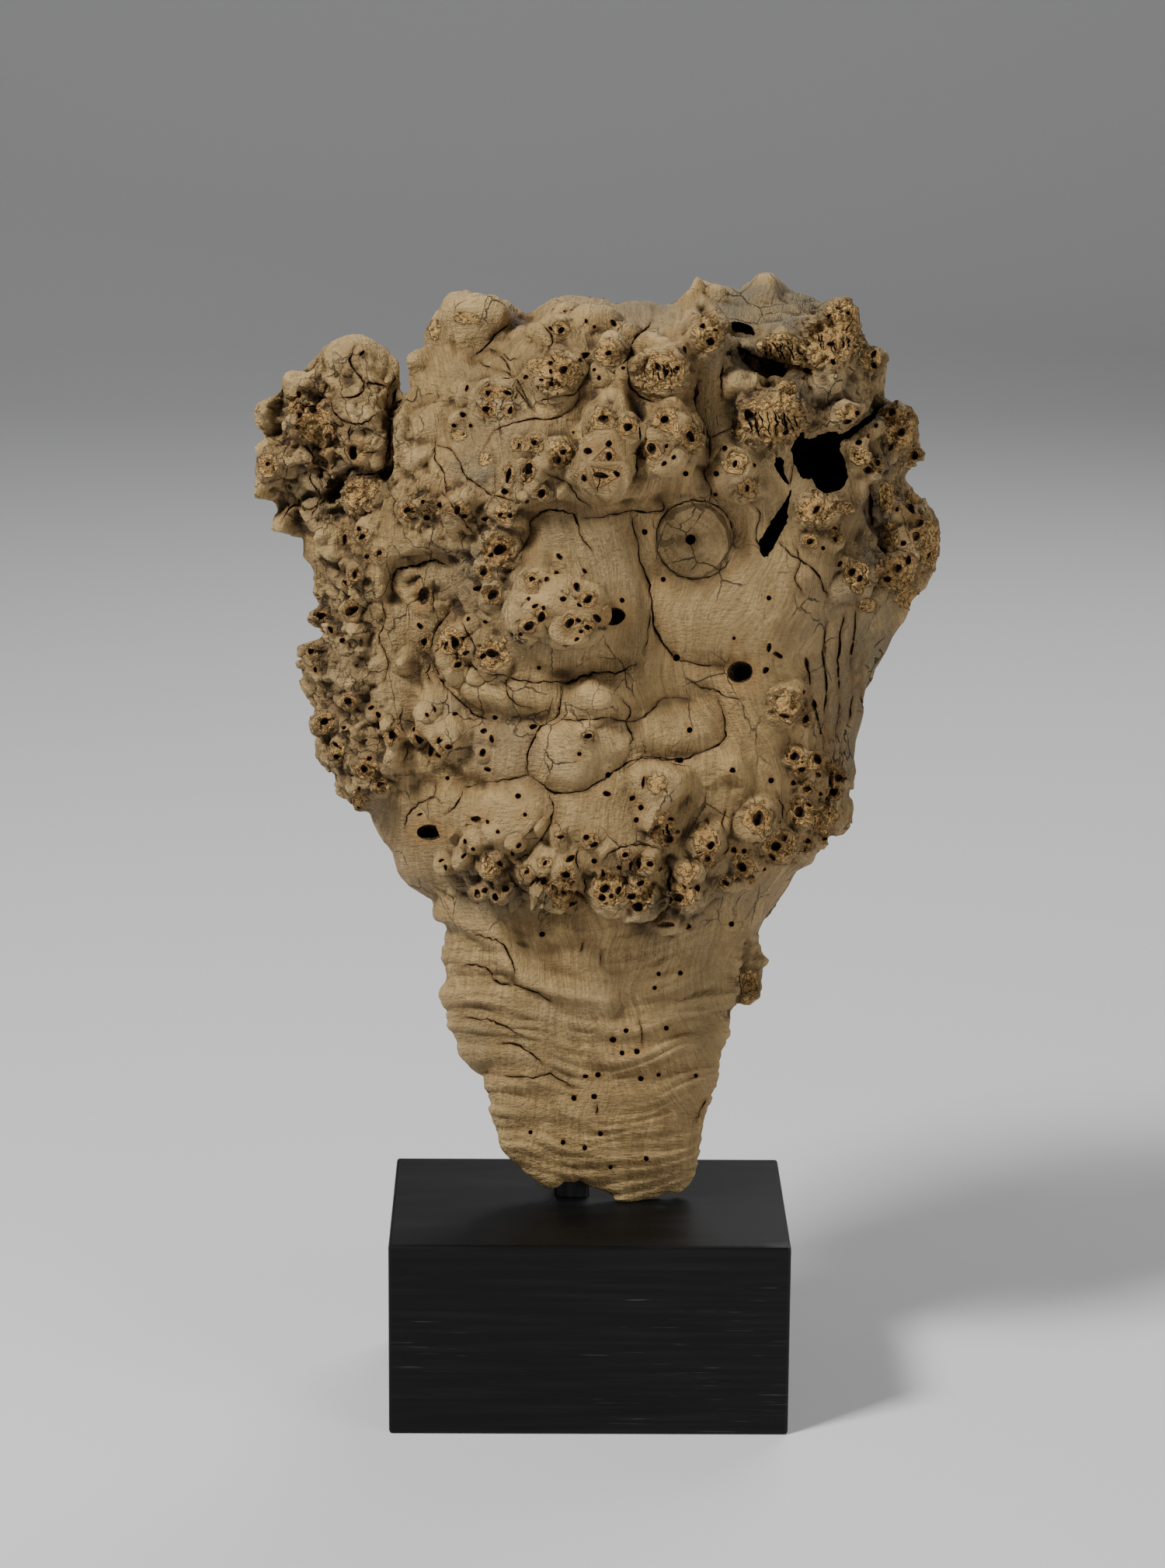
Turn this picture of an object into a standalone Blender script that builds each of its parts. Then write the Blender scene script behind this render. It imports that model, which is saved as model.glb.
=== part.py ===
"""A burl of driftwood held over a black wooden block by a steel post.

Metres, +Z up. The origin is the middle of the block's underside, and -Y is the side that is looked at.
The driftwood is one hollow-backed shell. Its places were read from one photograph, so they are given as
the pixel where each one is seen, and sizes and heights are real ones.
"""
import math

import bmesh
import bpy
import numpy as np
from mathutils import Matrix, Vector
from mathutils.bvhtree import BVHTree

MM = 0.001
INCH = 0.0254

# Block
BLOCK_SIZE = Vector((6 * INCH, 4 * INCH, 3 * INCH))
BLOCK_EDGE = 1.2 * MM
GAP = 0.3 * MM

# Post and what fastens it
POST_WIDTH = 0.5 * INCH
POST_X = -6.4 * MM
POST_FRONT_Y = 4.9 * MM
POST_SUNK = 45 * MM
POST_TOP_Z = 300 * MM
POST_EDGE = 0.8 * MM
FIXING_HOLE_RADIUS = 3.6 * MM
FIXING_RADIUS = 3.0 * MM
FIXING_GRIP = 20 * MM
FIXING_HEAD_RADIUS = 5.5 * MM
FIXING_HEAD_HEIGHT = 4.0 * MM
WASHER_RADIUS = 8.5 * MM
WASHER_THICKNESS = 1.6 * MM
COUNTERBORE_RADIUS = 9.5 * MM
COUNTERBORE_DEPTH = 12 * MM

# Arms that reach from the post to the back of the wood
ARM_HEIGHTS = {"upper": 285 * MM, "lower": 215 * MM}
ARM_THICKNESS = 4 * MM
PAD_SIZE = Vector((34 * MM, 3 * MM, 16 * MM))
PAD_SCREW_SPACING = 22 * MM
SCREW_RADIUS = 1.6 * MM
SCREW_LENGTH = 11 * MM
SCREW_HEAD_RADIUS = 3.2 * MM
SCREW_HEAD_HEIGHT = 2.0 * MM
SCREW_HOLE_RADIUS = 2.0 * MM

# Where the photograph was taken from
PHOTO_MIDDLE = (750.0, 1009.5)
FOCAL_PIXELS = 5558.0
VIEW_POINT = Vector((-0.0199, -1.5893, 0.6434))
VIEW_PITCH = math.radians(14.12)
VIEW_YAW = math.radians(0.59)
VIEW_ROLL = math.radians(0.42)
PIXEL = 0.293 * MM
BUD_SCALE = 1.3

# Shell
GRID_STEP = 8.0
REMESH_SIZE = 1.6 * MM
TRIANGLES = 10600
FRONT_ROUND = 34.0
BACK_ROUND = 60.0

# Silhouette, clockwise from the left lobe's tip: pixel across, pixel down, mm that the rim lies in front of y = 0
OUTLINE = [
    (329, 533, -14), (334, 517, -14), (357, 510, -14), (380, 486, -14), (401, 466, -15), (424, 448, -16),
    (443, 442, -16), (460, 441, -16), (478, 446, -15), (496, 453, -14), (512, 464, -12), (514, 492, -10),
    (517, 506, -6), (529, 506, -6), (527, 487, -12), (526, 459, -16), (533, 451, -18), (548, 447, -18),
    (545, 432, -18), (553, 415, -20), (561, 400, -21), (573, 393, -22), (601, 386, -23), (651, 386, -23),
    (666, 398, -22), (678, 406, -20), (688, 399, -19), (713, 383, -19), (730, 380, -19), (752, 381, -19),
    (780, 384, -19), (791, 393, -18), (810, 388, -18), (838, 388, -18), (848, 393, -18), (869, 391, -19),
    (881, 378, -20), (889, 374, -20), (893, 361, -22), (907, 361, -22), (922, 367, -22), (938, 368, -22),
    (948, 376, -21), (962, 364, -22), (992, 361, -22), (1010, 367, -22), (1024, 376, -20), (1044, 383, -20),
    (1062, 393, -19), (1082, 393, -18), (1096, 402, -18), (1106, 419, -18), (1118, 443, -18), (1134, 450, -18),
    (1141, 466, -18), (1141, 488, -18), (1137, 512, -17), (1151, 521, -17), (1172, 524, -18), (1182, 538, -18),
    (1184, 581, -20), (1175, 598, -21), (1164, 616, -22), (1172, 628, -24), (1189, 643, -26), (1203, 657, -28),
    (1210, 680, -28), (1210, 711, -28), (1200, 742, -28), (1189, 758, -29), (1175, 773, -30), (1166, 796, -31),
    (1154, 814, -32), (1141, 836, -32), (1129, 857, -32), (1117, 876, -32), (1111, 897, -32), (1108, 923, -31),
    (1101, 951, -30), (1099, 977, -30), (1097, 1010, -30), (1093, 1022, -30), (1098, 1033, -31), (1096, 1063, -31),
    (1083, 1077, -29), (1069, 1076, -26), (1051, 1098, -25), (1046, 1112, -25), (1024, 1122, -24), (1014, 1142, -24),
    (999, 1165, -23), (983, 1186, -22), (976, 1201, -21), (979, 1224, -23), (982, 1242, -24), (981, 1262, -24),
    (978, 1283, -22), (966, 1295, -19), (950, 1293, -15), (941, 1300, -13), (940, 1316, -13), (932, 1340, -12),
    (927, 1365, -11), (924, 1392, -11), (912, 1417, -10), (906, 1445, -9), (901, 1478, -8), (895, 1512, -7),
    (889, 1524, -6), (875, 1536, -5), (855, 1536, -3), (846, 1542, -2), (825, 1545, -1), (809, 1550, 0),
    (797, 1547, 0), (782, 1535, -1), (754, 1526, -1), (745, 1516, -1), (741, 1523, -1), (727, 1521, -1),
    (716, 1530, -2), (706, 1532, -3), (687, 1518, -5), (665, 1500, -7), (647, 1475, -8), (638, 1451, -10),
    (633, 1420, -11), (627, 1383, -12), (617, 1384, -13), (606, 1376, -14), (598, 1359, -14), (586, 1328, -16),
    (575, 1304, -17), (572, 1282, -18), (575, 1264, -18), (574, 1236, -19), (572, 1209, -20), (577, 1186, -20),
    (570, 1177, -21), (562, 1162, -21), (526, 1141, -22), (512, 1125, -23), (505, 1096, -24), (491, 1080, -24),
    (480, 1060, -24), (476, 1045, -23), (457, 1043, -21), (450, 1027, -21), (434, 1022, -22), (431, 996, -22),
    (411, 984, -23), (406, 963, -23), (410, 943, -23), (405, 931, -23), (406, 910, -23), (387, 887, -24),
    (389, 876, -24), (405, 853, -23), (397, 836, -23), (419, 814, -22), (402, 792, -22), (415, 783, -21),
    (402, 763, -21), (406, 747, -20), (402, 730, -20), (391, 717, -19), (390, 689, -17), (373, 689, -17),
    (348, 682, -17), (359, 663, -16), (356, 650, -16), (334, 633, -16), (332, 604, -15), (337, 587, -15),
    (337, 573, -14), (352, 562, -13), (341, 555, -14), (329, 541, -14),
]

# Deep dark hollows that open to the front: mm that their floor lies in front of y = 0, then their outline in pixels
POCKETS = {
    "cavity": (-14, [(1018, 580), (1024, 566), (1034, 557), (1039, 565), (1050, 562), (1066, 556), (1079, 557),
                     (1084, 568), (1082, 577), (1088, 595), (1091, 615), (1084, 628), (1066, 636), (1052, 627),
                     (1044, 617), (1034, 616), (1024, 601)]),
    "slit": (-10, [(1019, 630), (1015, 655), (1013, 673), (1004, 690), (993, 710), (984, 718), (978, 707),
                   (979, 694), (988, 680), (998, 663), (1010, 644)]),
    "side_slot": (6, [(998, 588), (1008, 591), (1009, 604), (1016, 624), (1005, 612), (998, 600)]),
    "recess": (2, [(949, 447), (962, 450), (975, 459), (991, 463), (1004, 467), (1010, 476), (1006, 485),
                   (988, 481), (969, 473), (956, 462)]),
    "crevice": (-8, [(942, 415), (956, 415), (969, 422), (971, 431), (958, 430), (944, 426)]),
    "split": (-10, [(1137, 513), (1126, 521), (1119, 535), (1104, 546), (1088, 556), (1078, 560), (1080, 570),
                    (1098, 561), (1110, 550), (1123, 540), (1129, 528), (1140, 518)]),
}
POCKET_SPREAD = 1.3

# Lie of the front surface: pixel across, pixel down, mm in front of y = 0
FRONT_RELIEF = [
    (812, 1535, 2), (760, 1505, 4), (700, 1500, 1), (870, 1515, 0), (770, 1440, 7), (690, 1440, 2), (860, 1440, 3),
    (770, 1370, 9), (680, 1370, 5), (870, 1370, 6), (620, 1340, -4), (905, 1340, -3), (760, 1290, 12),
    (660, 1290, 6), (600, 1280, -5), (870, 1290, 8), (930, 1260, -5), (760, 1205, 12), (690, 1210, 8),
    (640, 1190, 10), (590, 1200, -3), (860, 1220, 12), (940, 1200, 0), (585, 1165, 0), (820, 1182, 15),
    (910, 1180, 13), (720, 1178, 12), (660, 1172, 10), (860, 1150, 33), (790, 1130, 35), (720, 1130, 33),
    (650, 1120, 27), (600, 1095, 20), (545, 1080, 5), (520, 1110, -6), (505, 1060, -8), (940, 1125, 28),
    (1000, 1090, 20), (1045, 1060, 8), (1080, 1050, -16), (1000, 1140, 0), (960, 1165, 4), (970, 1050, 29),
    (1035, 1000, 15), (1075, 1000, -6), (880, 1060, 35), (800, 1050, 38), (720, 1060, 36), (650, 1040, 32),
    (590, 1040, 18), (745, 970, 38), (845, 1005, 37), (890, 940, 34), (950, 990, 31), (1010, 930, 22),
    (1045, 930, 11), (1075, 930, -8), (640, 965, 27), (585, 945, 19), (545, 950, 12), (500, 980, 7),
    (450, 1000, -4), (440, 930, -7), (410, 900, -15), (480, 900, 5), (530, 880, 10), (600, 890, 22),
    (560, 850, 11), (640, 900, 27), (775, 895, 40), (840, 880, 33), (730, 865, 36), (660, 850, 34),
    (740, 800, 46), (680, 770, 42), (800, 770, 38), (620, 760, 27), (570, 800, 15), (540, 760, 8),
    (690, 700, 34), (770, 700, 36), (640, 708, 30), (840, 740, 30), (870, 810, 33), (930, 800, 34),
    (990, 800, 29), (940, 870, 27), (1000, 870, 24), (1050, 860, 14), (895, 695, 30), (955, 720, 29),
    (1040, 780, 22), (1080, 830, 2), (1110, 860, -14), (1130, 800, -14), (1100, 900, -16), (460, 830, 0),
    (430, 780, -8), (470, 760, 4), (420, 710, -8), (500, 710, 14), (560, 690, 26), (600, 650, 30),
    (520, 650, 14), (450, 660, -4), (560, 590, 16), (520, 560, 6), (640, 600, 34), (700, 630, 42),
    (720, 580, 42), (780, 610, 48), (790, 545, 44), (860, 600, 45), (860, 545, 40), (940, 610, 36),
    (930, 650, 32), (975, 640, 30), (960, 560, 30), (640, 530, 28), (700, 480, 34), (760, 500, 36),
    (780, 450, 30), (855, 480, 36), (860, 430, 24), (910, 430, 28), (915, 500, 30), (720, 425, 22),
    (760, 405, 14), (640, 470, 10), (690, 420, 8), (600, 420, -6), (650, 410, -8), (580, 480, 0),
    (560, 530, 2), (545, 455, -12), (480, 500, -2), (440, 490, -4), (400, 540, -6), (450, 560, 0),
    (480, 580, 0), (370, 600, -8), (420, 620, -8), (360, 540, -12), (370, 660, -14), (880, 395, 4),
    (930, 395, -4), (985, 385, -6), (1040, 410, 2), (985, 425, 8), (1080, 420, 4), (1010, 447, 18),
    (1075, 460, 16), (1115, 480, -2), (1000, 478, 10), (1000, 530, 32), (1050, 520, 18), (1100, 530, 14),
    (1150, 560, 2), (1115, 590, 12), (1060, 660, 24), (1105, 650, 12), (1150, 650, -4), (1170, 700, -4),
    (1150, 740, -8), (1100, 740, 14), (1060, 730, 24), (1020, 720, 28), (1122, 700, 4), (1150, 780, -18),
    (1010, 600, 28),
]

# Lie of the back surface
BACK_RELIEF = [
    (812, 1535, -4), (735, 1500, -4), (690, 1480, -6), (870, 1500, -7), (770, 1430, -3), (670, 1400, -7),
    (880, 1400, -6), (760, 1330, -3), (640, 1320, -10), (890, 1320, -8), (750, 1250, -3), (630, 1220, -11),
    (900, 1230, -9), (750, 1170, 0), (650, 1120, 2), (860, 1120, 6), (560, 1060, -14), (1000, 1060, -8),
    (750, 1000, 14), (900, 1000, 10), (620, 980, 2), (480, 960, -18), (1050, 900, -20), (740, 820, 18),
    (900, 800, 12), (600, 800, -2), (450, 820, -26), (1010, 790, -8), (740, 660, 16), (880, 650, 10),
    (600, 650, 0), (1000, 660, -22), (1120, 700, -34), (500, 680, -20), (780, 540, 12), (890, 530, 2),
    (660, 520, -2), (1040, 600, -33), (1020, 520, -30), (1110, 560, -32), (560, 540, -18), (430, 560, -34), (460, 490, -34),
    (720, 450, -8), (850, 440, -8), (960, 440, -28), (1050, 440, -32), (620, 430, -34),
]

# Buds of the burl: pixel across, pixel down, radius in pixels, height in mm, depth of the pit in its end in mm
BUDS = [
    (730, 401, 13, 3, 2), (713, 427, 19, 5, 2), (762, 414, 19, 4, 2), (720, 480, 31, 6, 3), (629, 506, 15, 2, 3),
    (654, 506, 13, 3, 1), (627, 529, 9, 1, 4), (655, 528, 9, 1, 2), (603, 501, 13, 2, 1), (590, 541, 14, 3, 2),
    (668, 573, 13, 3, 2), (690, 573, 15, 3, 2), (718, 588, 20, 5, 3), (680, 606, 12, 2, 6), (654, 611, 11, 2, 5),
    (697, 635, 13, 3, 3), (650, 662, 16, 3, 2), (586, 650, 22, 5, 2), (525, 657, 16, 4, 3), (552, 655, 14, 3, 1),
    (488, 710, 14, 3, 2), (470, 690, 16, 3, 2), (642, 708, 24, 4, 5), (721, 717, 10, 2, 2), (685, 747, 11, 2, 3),
    (706, 744, 9, 2, 2), (624, 737, 14, 4, 2), (643, 742, 10, 4, 0), (634, 766, 16, 5, 4), (457, 740, 12, 4, 2),
    (445, 751, 9, 3, 1), (542, 766, 17, 2, 7), (727, 770, 13, 3, 2), (755, 771, 18, 4, 3), (696, 790, 12, 2, 4),
    (678, 806, 13, 3, 5), (736, 804, 12, 3, 4), (752, 812, 14, 3, 4), (584, 828, 24, 5, 5), (589, 854, 13, 6, 2),
    (631, 842, 23, 4, 2), (453, 786, 13, 5, 3), (413, 793, 12, 5, 2), (427, 813, 11, 4, 2), (465, 813, 9, 3, 0),
    (523, 853, 15, 6, 0), (402, 839, 13, 5, 1), (408, 862, 14, 5, 1), (464, 878, 15, 6, 0), (450, 904, 11, 3, 4),
    (480, 912, 10, 2, 3), (416, 929, 16, 5, 2), (447, 939, 9, 3, 1), (464, 943, 11, 4, 0), (507, 949, 11, 3, 4),
    (554, 920, 22, 6, 1), (537, 949, 12, 3, 3), (584, 943, 24, 6, 1), (576, 961, 10, 3, 3), (621, 970, 10, 2, 3),
    (632, 951, 9, 2, 1), (475, 977, 9, 2, 2), (466, 991, 16, 4, 2), (490, 1012, 13, 3, 2), (509, 977, 18, 5, 0),
    (433, 975, 11, 4, 2), (462, 1015, 14, 4, 2), (757, 947, 10, 2, 2), (775, 902, 18, 4, 0), (951, 599, 21, 4, 2),
    (966, 630, 17, 4, 3), (887, 565, 19, 6, 4), (858, 543, 18, 6, 4), (841, 571, 14, 4, 2), (865, 590, 9, 3, 1),
    (853, 597, 8, 2, 1), (779, 540, 19, 6, 4), (808, 550, 18, 5, 3), (786, 580, 17, 5, 2), (762, 580, 12, 4, 2),
    (771, 612, 24, 6, 4), (755, 557, 9, 2, 1), (1013, 906, 24, 4, 3), (1037, 924, 12, 3, 2), (1024, 973, 15, 5, 3),
    (1031, 992, 13, 4, 2), (1035, 1012, 13, 3, 1), (783, 454, 21, 6, 1), (770, 488, 9, 2, 1), (836, 443, 13, 4, 1),
    (882, 450, 10, 4, 0), (855, 480, 38, 9, 2), (911, 433, 25, 7, 3), (1006, 443, 30, 6, 1), (1072, 454, 30, 7, 2),
    (1076, 409, 26, 6, 2), (996, 533, 38, 8, 2), (1013, 502, 18, 5, 1), (1089, 533, 17, 5, 2), (1124, 465, 18, 5, 1),
    (1154, 535, 20, 5, 2), (1158, 560, 20, 5, 3), (1127, 552, 14, 3, 3), (1103, 588, 18, 6, 2), (1127, 598, 12, 3, 3),
    (1106, 626, 15, 4, 0), (1177, 585, 12, 3, 3), (1051, 657, 26, 5, 2), (1043, 696, 13, 3, 2), (1075, 698, 11, 3, 1),
    (1102, 741, 25, 6, 3), (1082, 725, 9, 2, 2), (1150, 735, 20, 5, 4), (1172, 700, 40, 6, 0), (1178, 660, 17, 0, 8),
    (942, 990, 17, 4, 1), (974, 1053, 21, 6, 5), (1031, 1045, 19, 6, 3), (1055, 1056, 18, 4, 2), (1075, 1008, 17, 5, 3),
    (1066, 1035, 12, 4, 2), (846, 1012, 27, 6, 1), (857, 1066, 18, 3, 3), (911, 1080, 22, 6, 2), (1001, 1089, 22, 6, 5),
    (961, 1115, 18, 5, 4), (932, 1136, 11, 4, 2), (885, 1122, 15, 7, 2), (880, 1145, 22, 10, 4), (836, 1113, 13, 4, 3),
    (822, 1138, 14, 5, 1), (822, 1160, 18, 8, 4), (856, 1188, 16, 5, 2), (787, 1147, 27, 10, 3), (718, 1148, 20, 8, 3),
    (700, 1112, 15, 5, 2), (700, 1134, 12, 5, 1), (679, 1123, 12, 4, 3), (728, 1127, 16, 5, 2), (721, 1078, 13, 4, 1),
    (760, 1083, 15, 4, 3), (805, 1101, 12, 3, 3), (633, 1115, 18, 6, 3), (613, 1085, 14, 4, 2), (598, 1101, 14, 5, 2),
    (641, 1073, 10, 2, 0), (668, 1088, 9, 3, 2), (651, 1143, 14, 7, 3), (627, 1140, 14, 7, 0), (575, 1113, 13, 4, 2),
    (1048, 1080, 14, 5, 1), (1064, 836, 11, 0, 3), (895, 695, 15, 0, 3), (884, 1029, 12, 0, 3), (805, 1017, 11, 0, 3),
    (455, 461, 44, 5, 0), (380, 497, 18, 5, 0), (345, 530, 16, 5, 0), (356, 556, 9, 0, 5), (472, 548, 42, 7, 0),
    (457, 580, 17, 1, 6), (404, 545, 24, 6, 4), (388, 560, 14, 4, 2), (413, 594, 14, 2, 8), (352, 600, 26, 6, 2),
    (345, 628, 12, 4, 2), (466, 632, 26, 5, 3), (416, 632, 16, 4, 3), (370, 673, 14, 5, 0), (413, 671, 24, 5, 0),
    (430, 705, 20, 4, 2), (605, 408, 32, 6, 0), (632, 402, 20, 3, 2), (580, 441, 14, 0, 4), (536, 468, 12, 4, 0),
    (545, 550, 26, 3, 0), (592, 500, 10, 2, 1),
    (900, 372, 12, 4, 0), (925, 380, 10, 3, 0), (985, 372, 22, 5, 0), (965, 1270, 12, 5, 0), (975, 1235, 10, 4, 0),
]

# Beetle borings wide enough to see into: pixel across, pixel down, half width and half height in pixels
BORINGS = [(550, 1072, 18, 11), (792, 794, 17, 12), (952, 866, 17, 15), (588, 989, 18, 8), (895, 695, 8, 8)]
BORING_DEPTH = 9 * MM

# Clefts between the lobes: half width in pixels, depth in mm, then the pixels they run through
CLEFTS = [
    (7, 7, [(512, 500), (504, 536), (500, 578), (489, 609), (455, 612), (440, 622), (420, 640)]),
    (6, 7, [(508, 765), (505, 738), (528, 728), (551, 723), (575, 727)]),
    (6, 4, [(415, 560), (405, 598), (432, 634), (400, 640)]),
    (8, 8, [(950, 455), (972, 471), (1008, 482), (1032, 486)]),
    (5, 5, [(905, 395), (925, 420), (955, 425), (975, 432)]),
    (6, 5, [(1137, 514), (1127, 531), (1106, 547), (1088, 560)]),
    (6, 4, [(1119, 622), (1122, 667), (1131, 697), (1138, 725), (1120, 770)]),
    (5, 3, [(811, 450), (808, 478), (818, 505), (848, 519), (890, 513), (898, 491), (890, 468), (872, 447)]),
    (6, 4, [(822, 530), (824, 560), (820, 595), (818, 618)]),
    (5, 3, [(896, 500), (900, 530), (908, 550), (913, 570), (910, 600), (905, 625)]),
    (5, 4, [(656, 728), (680, 696), (684, 673), (702, 658), (732, 661), (765, 665), (812, 659), (850, 657)]),
    (4, 4, [(678, 404), (655, 416), (640, 434), (624, 450), (608, 458)]),
    (5, 3, [(620, 866), (676, 877), (723, 879), (768, 866), (814, 857)]),
    (5, 3, [(812, 664), (822, 715), (836, 754), (842, 800), (856, 834), (895, 855), (930, 858)]),
    (5, 3, [(723, 880), (720, 910), (700, 935), (686, 953), (681, 998), (712, 1021), (745, 1021), (785, 998),
            (805, 984), (833, 976), (870, 978)]),
    (4, 2, [(716, 925), (777, 925), (812, 927), (844, 908), (886, 900), (922, 897), (934, 938), (928, 956), (873, 978)]),
    (5, 4, [(707, 1021), (712, 1041), (707, 1063), (693, 1085), (664, 1105)]),
    (5, 3, [(582, 786), (562, 812), (555, 836), (562, 864), (593, 904), (629, 926), (690, 925)]),
    (7, 5, [(863, 1110), (862, 1140), (868, 1165), (850, 1175)]),
    (4, 2, [(848, 741), (858, 650), (895, 642), (930, 655), (946, 695), (930, 735), (895, 748), (862, 735)]),
    (5, 3, [(1038, 848), (1047, 906), (1057, 945), (1062, 985)]),
    (5, 3, [(540, 1008), (560, 1010), (575, 1000), (600, 1014), (656, 1004), (684, 998)]),
    (4, 4, [(938, 1306), (950, 1288), (955, 1262), (965, 1215)]),
]

# Folds across the neck: crest's pixels, height in mm
NECK_FOLDS = [
    (3.5, [(572, 1172), (610, 1186), (645, 1210), (665, 1240), (720, 1275), (780, 1290)]),
    (2.0, [(690, 1205), (760, 1200), (840, 1213), (920, 1195), (960, 1180)]),
    (1.6, [(580, 1230), (640, 1238), (760, 1235), (850, 1246), (930, 1215)]),
    (1.8, [(680, 1262), (760, 1268), (850, 1268), (940, 1240)]),
    (2.2, [(578, 1280), (650, 1285), (720, 1310), (800, 1325), (880, 1300), (935, 1285)]),
    (2.0, [(590, 1318), (660, 1322), (740, 1345), (800, 1362), (880, 1345), (925, 1330)]),
    (1.8, [(600, 1352), (680, 1358), (740, 1375), (760, 1405), (830, 1412), (905, 1385)]),
    (1.6, [(632, 1395), (700, 1392), (750, 1430), (830, 1440), (900, 1415)]),
    (1.4, [(640, 1430), (720, 1432), (790, 1462), (880, 1455)]),
    (1.2, [(655, 1475), (730, 1470), (800, 1490), (880, 1485)]),
]
FOLD_HALF_WIDTH = 11.0

# Colours of the materials: red, green, blue, roughness, metallic
FINISHES = {
    "driftwood": (0.36, 0.26, 0.15, 0.85, 0.0),
    "black_wood": (0.012, 0.012, 0.012, 0.45, 0.0),
    "black_steel": (0.02, 0.02, 0.02, 0.5, 0.6),
    "zinc": (0.5, 0.5, 0.5, 0.35, 1.0),
}


def clear_scene():
    for obj in list(bpy.data.objects):
        bpy.data.objects.remove(obj)


def finish(name):
    """The material of that name, made once."""
    found = bpy.data.materials.get(name)
    if found:
        return found
    material = bpy.data.materials.new(name)
    material.use_nodes = True
    shader = material.node_tree.nodes["Principled BSDF"]
    red, green, blue, roughness, metallic = FINISHES[name]
    shader.inputs["Base Color"].default_value = (red, green, blue, 1)
    shader.inputs["Roughness"].default_value = roughness
    shader.inputs["Metallic"].default_value = metallic
    return material


def add_object(name, mesh, material, sharp_angle=40):
    mesh.materials.clear()
    mesh.materials.append(finish(material))
    mesh.shade_smooth()
    mesh.set_sharp_from_angle(angle=math.radians(sharp_angle))
    obj = bpy.data.objects.new(name, mesh)
    bpy.context.scene.collection.objects.link(obj)
    return obj


def evaluated_copy(obj, name):
    """A new mesh with the object's modifiers applied."""
    graph = bpy.context.evaluated_depsgraph_get()
    graph.update()
    mesh = bpy.data.meshes.new_from_object(obj.evaluated_get(graph), depsgraph=graph)
    mesh.name = name
    return mesh


# The photograph's view

def view_axes():
    forward = Vector((math.sin(VIEW_YAW) * math.cos(VIEW_PITCH), math.cos(VIEW_YAW) * math.cos(VIEW_PITCH),
                      -math.sin(VIEW_PITCH)))
    level = Vector((math.cos(VIEW_YAW), -math.sin(VIEW_YAW), 0))
    upright = level.cross(forward)
    right = math.cos(VIEW_ROLL) * level + math.sin(VIEW_ROLL) * upright
    up = math.cos(VIEW_ROLL) * upright - math.sin(VIEW_ROLL) * level
    return np.array(right), np.array(up), np.array(forward)


RIGHT, UP, FORWARD = view_axes()


def sight_lines(across, down):
    """Directions from the view point through those pixels."""
    across = (np.asarray(across, float) - PHOTO_MIDDLE[0]) / FOCAL_PIXELS
    down = (np.asarray(down, float) - PHOTO_MIDDLE[1]) / FOCAL_PIXELS
    return FORWARD + across[..., None] * RIGHT - down[..., None] * UP


def place(across, down, in_front):
    """Points seen at those pixels that lie in_front mm before the plane y = 0."""
    rays = sight_lines(across, down)
    eye = np.array(VIEW_POINT)
    reach = (-np.asarray(in_front, float) * MM - eye[1]) / rays[..., 1]
    return eye + rays * reach[..., None]


def pixels_of(points):
    """Where points are seen: pixels across and down."""
    offset = points - np.array(VIEW_POINT)
    depth = offset @ FORWARD
    across = PHOTO_MIDDLE[0] + FOCAL_PIXELS * (offset @ RIGHT) / depth
    return across, PHOTO_MIDDLE[1] - FOCAL_PIXELS * (offset @ UP) / depth


# Reading a shape from a few points

def thin_plate(rows):
    """The smooth surface through rows of (across, down, height), as a function of pixels."""
    rows = np.array(rows, float)
    knots, heights = rows[:, :2] / 100.0, rows[:, 2]

    def basis(points):
        squared = ((points[:, None, :] - knots[None]) ** 2).sum(-1)
        return squared * np.log(squared + 1e-9)

    count = len(knots)
    flat = np.hstack([np.ones((count, 1)), knots])
    system = np.zeros((count + 3, count + 3))
    system[:count, :count] = basis(knots) + 0.02 * np.eye(count)
    system[:count, count:] = flat
    system[count:, :count] = flat.T
    weights = np.linalg.solve(system, np.append(heights, np.zeros(3)))

    def surface(across, down):
        points = np.stack([across, down], -1) / 100.0
        return basis(points) @ weights[:count] + np.hstack([np.ones((len(points), 1)), points]) @ weights[count:]

    return surface


def inside(polygon, across, down):
    """True where a pixel lies in the polygon."""
    polygon = np.array(polygon, float)[:, :2]
    found = np.zeros(len(across), bool)
    for (ax, ay), (bx, by) in zip(polygon, np.roll(polygon, -1, 0)):
        spans = (ay > down) != (by > down)
        if ay != by:
            found ^= spans & (across < (bx - ax) * (down - ay) / (by - ay) + ax)
    return found


def nearest_on_path(path, across, down, closed):
    """For each pixel: distance to the path, the nearest point on it, and how far along it as a point number."""
    path = np.array(path, float)[:, :2]
    ends = np.roll(path, -1, 0) if closed else path[1:]
    starts = path if closed else path[:-1]
    points = np.stack([across, down], -1)
    best = np.full(len(points), 1e9)
    near = np.zeros_like(points)
    along = np.zeros(len(points))
    for number, (start, end) in enumerate(zip(starts, ends)):
        step = end - start
        share = np.clip(((points - start) @ step) / max(step @ step, 1e-9), 0, 1)
        foot = start + share[:, None] * step
        distance = np.hypot(*(points - foot).T)
        closer = distance < best
        best[closer] = distance[closer]
        near[closer] = foot[closer]
        along[closer] = number + share[closer]
    return best, near, along


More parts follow.
